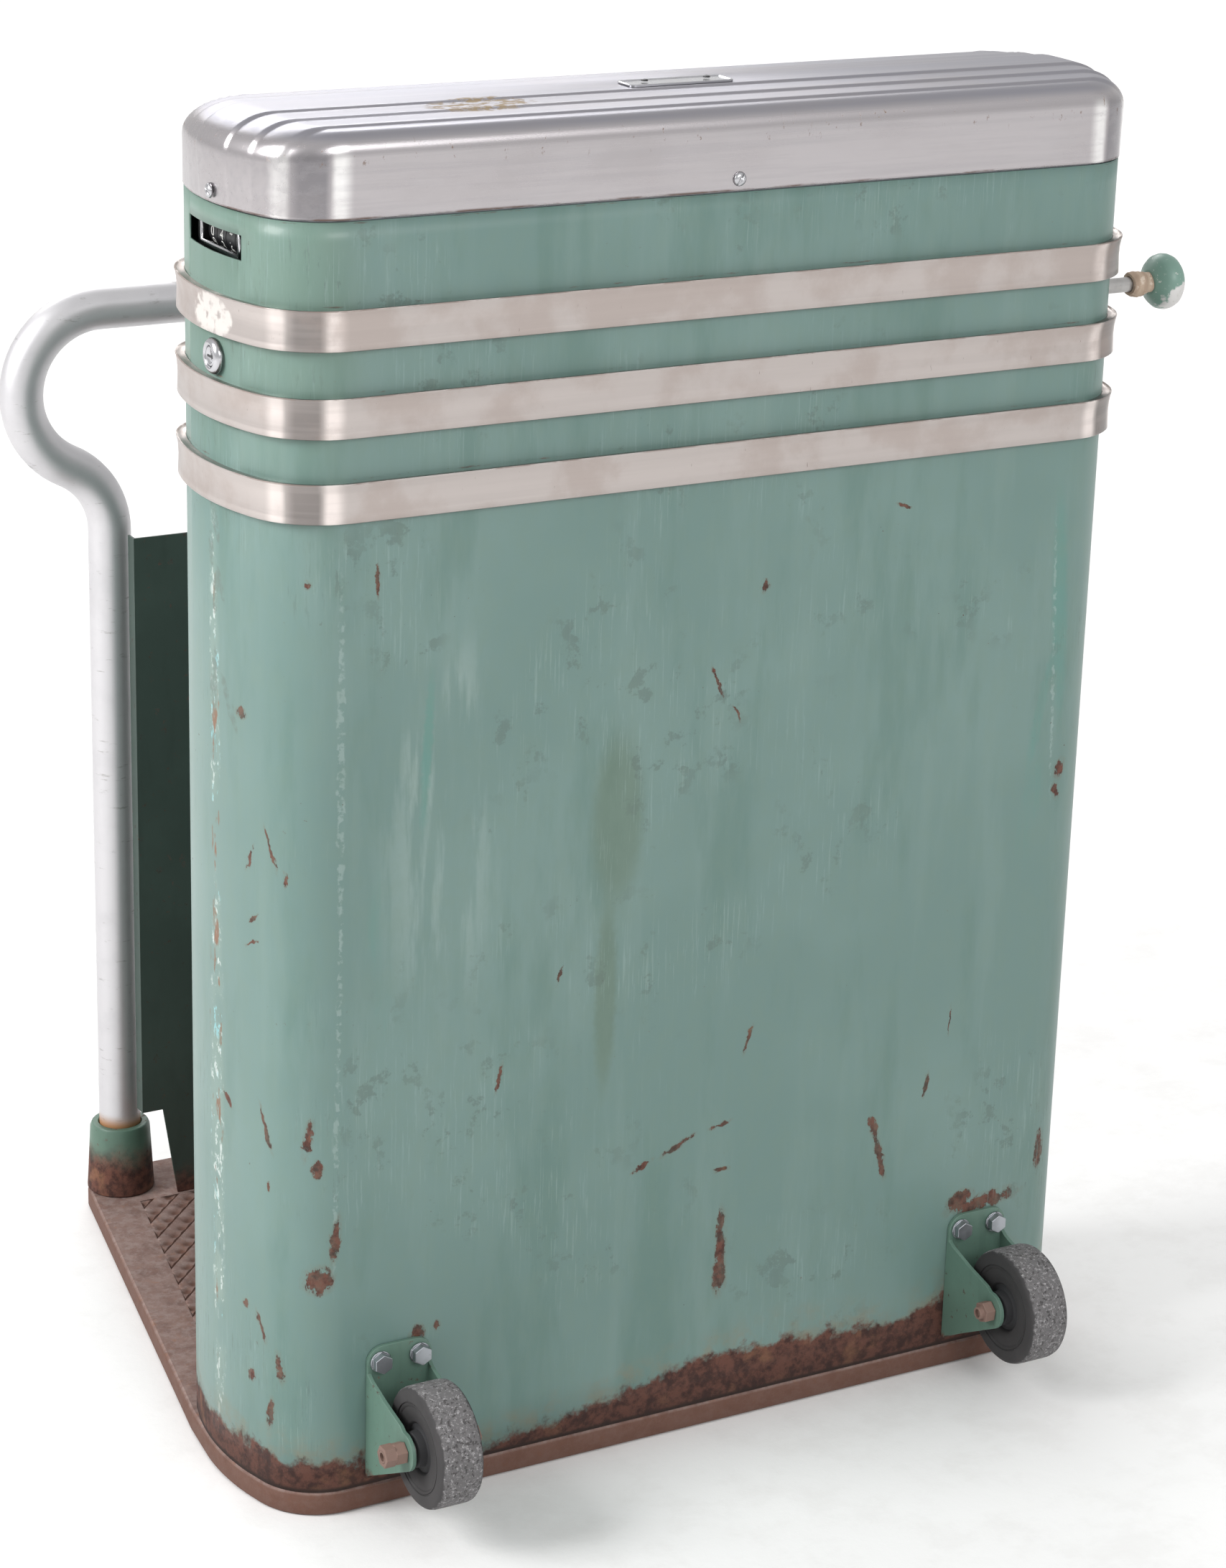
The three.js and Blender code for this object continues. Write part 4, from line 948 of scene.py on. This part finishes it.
def wrapped_collar():
    """Cloth tape wound round the rod in overlapping turns behind the knob."""
    low, high = node_box("knob_collar")
    centre = Vector((high.x, (low.y + high.y) / 2, (low.z + high.z) / 2))
    length = high.x - low.x
    rings = []
    for k in range(25):
        share = k / 24
        ring = []
        for i in range(40):
            turn = 2 * math.pi * i / 40
            wound = (share * 5 + i / 40) % 1
            radius = 7.0 + 2.1 * math.sin(math.pi * min(1, share * 1.1 + 0.1)) + 0.55 * wound
            radius += 0.5 * math.sin(3 * turn + 5 * share)
            ring.append((radius * math.cos(turn), radius * math.sin(turn), -length * (1 - share)))
        rings.append(ring)
    for z in (0, -length):
        turns = [2 * math.pi * i / 40 for i in range(40)]
        rings.append([(5.8 * math.cos(turn), 5.8 * math.sin(turn), z) for turn in turns])
    verts, faces = bridge(rings, along=True)
    verts = moved(verts, Matrix.Translation(centre) @ ALONG_X)
    piece("tape_collar", verts, faces, tape, "pull", ["knob_collar"], 60)


def lock():
    """Polished face ring with a plug whose key slot lies level."""
    low, high = node_box("lock_body")
    centre = Vector((low.x, (low.y + high.y) / 2, (low.z + high.z) / 2))
    out = Matrix.Translation(centre) @ Matrix.Rotation(-math.pi / 2, 4, "Y")
    radius = (high.y - low.y) / 2
    ring = [(6.9, -26.5), (9.3, -26.5), (9.3, -4.6), (radius, -4.6), (radius, -2.9), (radius - 0.5, -2.0),
            (radius - 1.8, -0.6), (radius - 3.1, -0.05), (radius - 4.2, -0.2), (7.2, -0.9), (6.9, -1.4)]
    verts, faces = lathe(ring, 64)
    piece("lock_ring", moved(verts, out), faces, chrome, replaced=["lock_body"], sharp=50)
    core = [(0, -28), (6.5, -28), (6.5, -1.3), (6.1, -0.9), (5.2, -0.9), (4.9, -1.2), (0, -1.2)]
    verts, faces = lathe(core, 48)
    piece("lock_core", moved(verts, out), faces, chrome, "lock", ["lock_plug"], 50)
    slot = [(x, y, z) for z in (-3, -1.1) for x, y in ((-0.8, -4.2), (0.8, -4.2), (0.8, 4.2), (-0.8, 4.2))]
    sides = [(0, 1, 5, 4), (1, 2, 6, 5), (2, 3, 7, 6), (3, 0, 4, 7), (0, 3, 2, 1), (4, 5, 6, 7)]
    piece("key_slot", moved(slot, out), sides, black, "lock")


# ------------------------------------------------------------------ digits on the register wheels
SHOWN_DIGITS = (0, 4, 7, 2)


def register_digits(index, shown):
    low, high = node_box(f"digit_wheel_{index}")
    centre = (low + high) / 2
    radius = (high.z - low.z) / 2 + 0.05
    verts, faces = [], []
    for digit in range(10):
        curve = bpy.data.curves.new("digit", "FONT")
        curve.body = str(digit)
        curve.size = 10.5
        curve.align_x = "CENTER"
        curve.align_y = "CENTER"
        text = bpy.data.objects.new("digit", curve)
        scene.collection.objects.link(text)
        flat = bpy.data.meshes.new_from_object(text)
        bpy.data.objects.remove(text)
        start = len(verts)
        turn = math.radians(36 * (digit - shown))
        for v in flat.vertices:
            angle = turn + v.co.y / radius
            out, up = radius * math.cos(angle), radius * math.sin(angle)
            verts.append((centre.x - out, centre.y - v.co.x, centre.z + up))
        faces += [[start + i for i in face.vertices] for face in flat.polygons]
    digits = piece(f"digits_{index}", verts, faces, white_enamel, f"digit_{index}")
    shelled(digits, 0.1)


# ------------------------------------------------------------------ nameplate
def nameplate():
    """Blank plate with a raised rim."""
    low, high = node_box("nameplate")
    centre = (low + high) / 2
    half = (high - low) / 2
    rings = []
    for inset, z in ((0, 0), (0, 1.0), (0.5, 1.5), (1.6, 1.5), (2.3, 0.9), (3.2, 0.9)):
        hx, hy, c = half.x - inset, half.y - inset, max(1.0, 4 - inset)
        ring = []
        for sx, sy, start in ((1, -1, -90), (1, 1, 0), (-1, 1, 90), (-1, -1, 180)):
            corner = arc(sx * (hx - c), sy * (hy - c), c, math.radians(start), math.radians(start + 90), 6)
            ring += [(centre.x + x, centre.y + y, low.z + z) for x, y in corner]
        rings.append(ring)
    verts, faces = bridge(rings)
    faces.append(list(range(len(rings[0]))))
    faces.append([len(verts) - 1 - i for i in range(len(rings[0]))])
    piece("blank_nameplate", verts, faces, chrome, replaced=["nameplate"], sharp=30)


cabinet_skin()
cap_skin()
band("band_upper_skin", "band_upper", BAND_OPENING)
band("band_middle_skin", "band_middle", BAND_OPENING)
band("band_lower_skin", "band_lower")
rail_skin()
base_slab()
tread_ribs()
wheel("left")
wheel("right")
knob()
wrapped_collar()
lock()
for index, shown in enumerate(SHOWN_DIGITS, 1):
    register_digits(index, shown)
nameplate()

KEPT = (
    (bracket_paint, 0.6, ("wheel_bracket_left", "wheel_bracket_right")),
    (dark_paint, 0.5, ("shield_panel",)),
    (socket_paint, 1.2, ("socket_left", "socket_right")),
    (rim_rust, 0.5, ("foot_frame",)),
    (nut_brown, 0.5, ("axle_bolt_left", "axle_bolt_right")),
    (chrome, 0.0, ("cap_screw_front", "cap_screw_rear", "cap_screw_left", "cap_screw_right",
                   "register_bezel")),
    (chrome, 0.4, ("rotor_arm_1", "rotor_arm_2", "rotor_arm_3")),
    (zinc, 0.5, ("bracket_bolt_left_1", "bracket_bolt_left_2", "bracket_bolt_right_1", "bracket_bolt_right_2",
                 "cap_neck_ring", "mechanism_frame", "register_bracket")),
    (steel, 0.3, ("wheel_bush_left", "wheel_bush_right", "rotor_shaft", "shaft_collar", "ratchet_wheel",
                  "pawl", "pawl_pin", "pawl_spring", "register_shaft", "lock_cam", "pull_rod")),
    (black, 0.2, ("nameplate_rivet_1", "nameplate_rivet_2", "register_case", "digit_wheel_1", "digit_wheel_2",
                  "digit_wheel_3", "digit_wheel_4")),
    (aluminium, 1.2, ("head_housing", "rotor_hub")),
    (bronze, 0.3, ("bearing_front", "bearing_rear", "rod_bush")),
)
for material, edge, names in KEPT:
    for name in names:
        keep_node(name, material, edge)


# ------------------------------------------------------------------ floor, light and camera
FLOOR_REACH = 14


def floor():
    s = Surface("pale_floor", (0.80, 0.795, 0.79), 0.7)
    s.layer(s.product(s.ramp(s.noise(60, detail=8, roughness=0.7), 0.45, 0.65), 0.25), (0.66, 0.645, 0.63))
    s.rise(s.math("MULTIPLY", s.noise(12, detail=6), 0.3))
    distance = s.node("VectorMath", {0: s.place}, output=1, operation="LENGTH")
    s.feed(s.shader.inputs["Emission Strength"], s.math("MULTIPLY", s.ramp(distance, 1.5, 6.0), 0.45))
    mesh = bpy.data.meshes.new("floor")
    corners = ((-1, -1), (1, -1), (1, 1), (-1, 1))
    mesh.from_pydata([(FLOOR_REACH * x, FLOOR_REACH * y, 0) for x, y in corners], [], [(0, 1, 2, 3)])
    mesh.materials.append(s.done(Emission_Color=(1, 1, 1, 1)))
    obj = bpy.data.objects.new("floor", mesh)
    scene.collection.objects.link(obj)


def soft_light(name, position, target, size, power):
    data = bpy.data.lights.new(name, "AREA")
    data.shape = "RECTANGLE"
    data.size, data.size_y = size
    data.energy = power
    light = bpy.data.objects.new(name, data)
    light.location = position
    aim = Vector(target) - Vector(position)
    light.rotation_euler = aim.to_track_quat("-Z", "Y").to_euler()
    scene.collection.objects.link(light)


def sky():
    world = bpy.data.worlds.new("studio")
    world.use_nodes = True
    tree = world.node_tree
    tree.nodes["Background"].inputs["Color"].default_value = (1, 1, 1, 1)
    tree.nodes["Background"].inputs["Strength"].default_value = 0.75
    scene.world = world


CAMERA_AT = Vector((-1.2961, -2.2604, 1.3869))
AZIMUTH = math.radians(29.27)
TILT = math.radians(19.32)
ROLL = math.radians(1.595)
LENS = 87.92


def camera():
    across = math.cos(TILT)
    forward = Vector((math.sin(AZIMUTH) * across, math.cos(AZIMUTH) * across, -math.sin(TILT)))
    level = Vector((math.cos(AZIMUTH), -math.sin(AZIMUTH), 0))
    above = level.cross(forward)
    right = math.cos(ROLL) * level + math.sin(ROLL) * above
    up = math.cos(ROLL) * above - math.sin(ROLL) * level
    data = bpy.data.cameras.new("camera")
    data.sensor_width = 36
    data.lens = LENS
    data.clip_end = 100
    obj = bpy.data.objects.new("camera", data)
    turn = Matrix((right, up, -forward)).transposed().to_4x4()
    obj.matrix_world = Matrix.Translation(CAMERA_AT) @ turn
    scene.collection.objects.link(obj)
    scene.camera = obj


floor()
sky()
soft_light("key", (-3.4, 0.4, 2.6), (0, 0, 0.6), (1.8, 1.6), 135)
soft_light("front", (0.2, -4.6, 3.2), (0, 0, 0.4), (2.6, 1.6), 95)
soft_light("back", (0.5, 3.5, 3.2), (0, 0, 0.8), (3.0, 1.2), 70)
camera()
scene.view_settings.view_transform = "Standard"
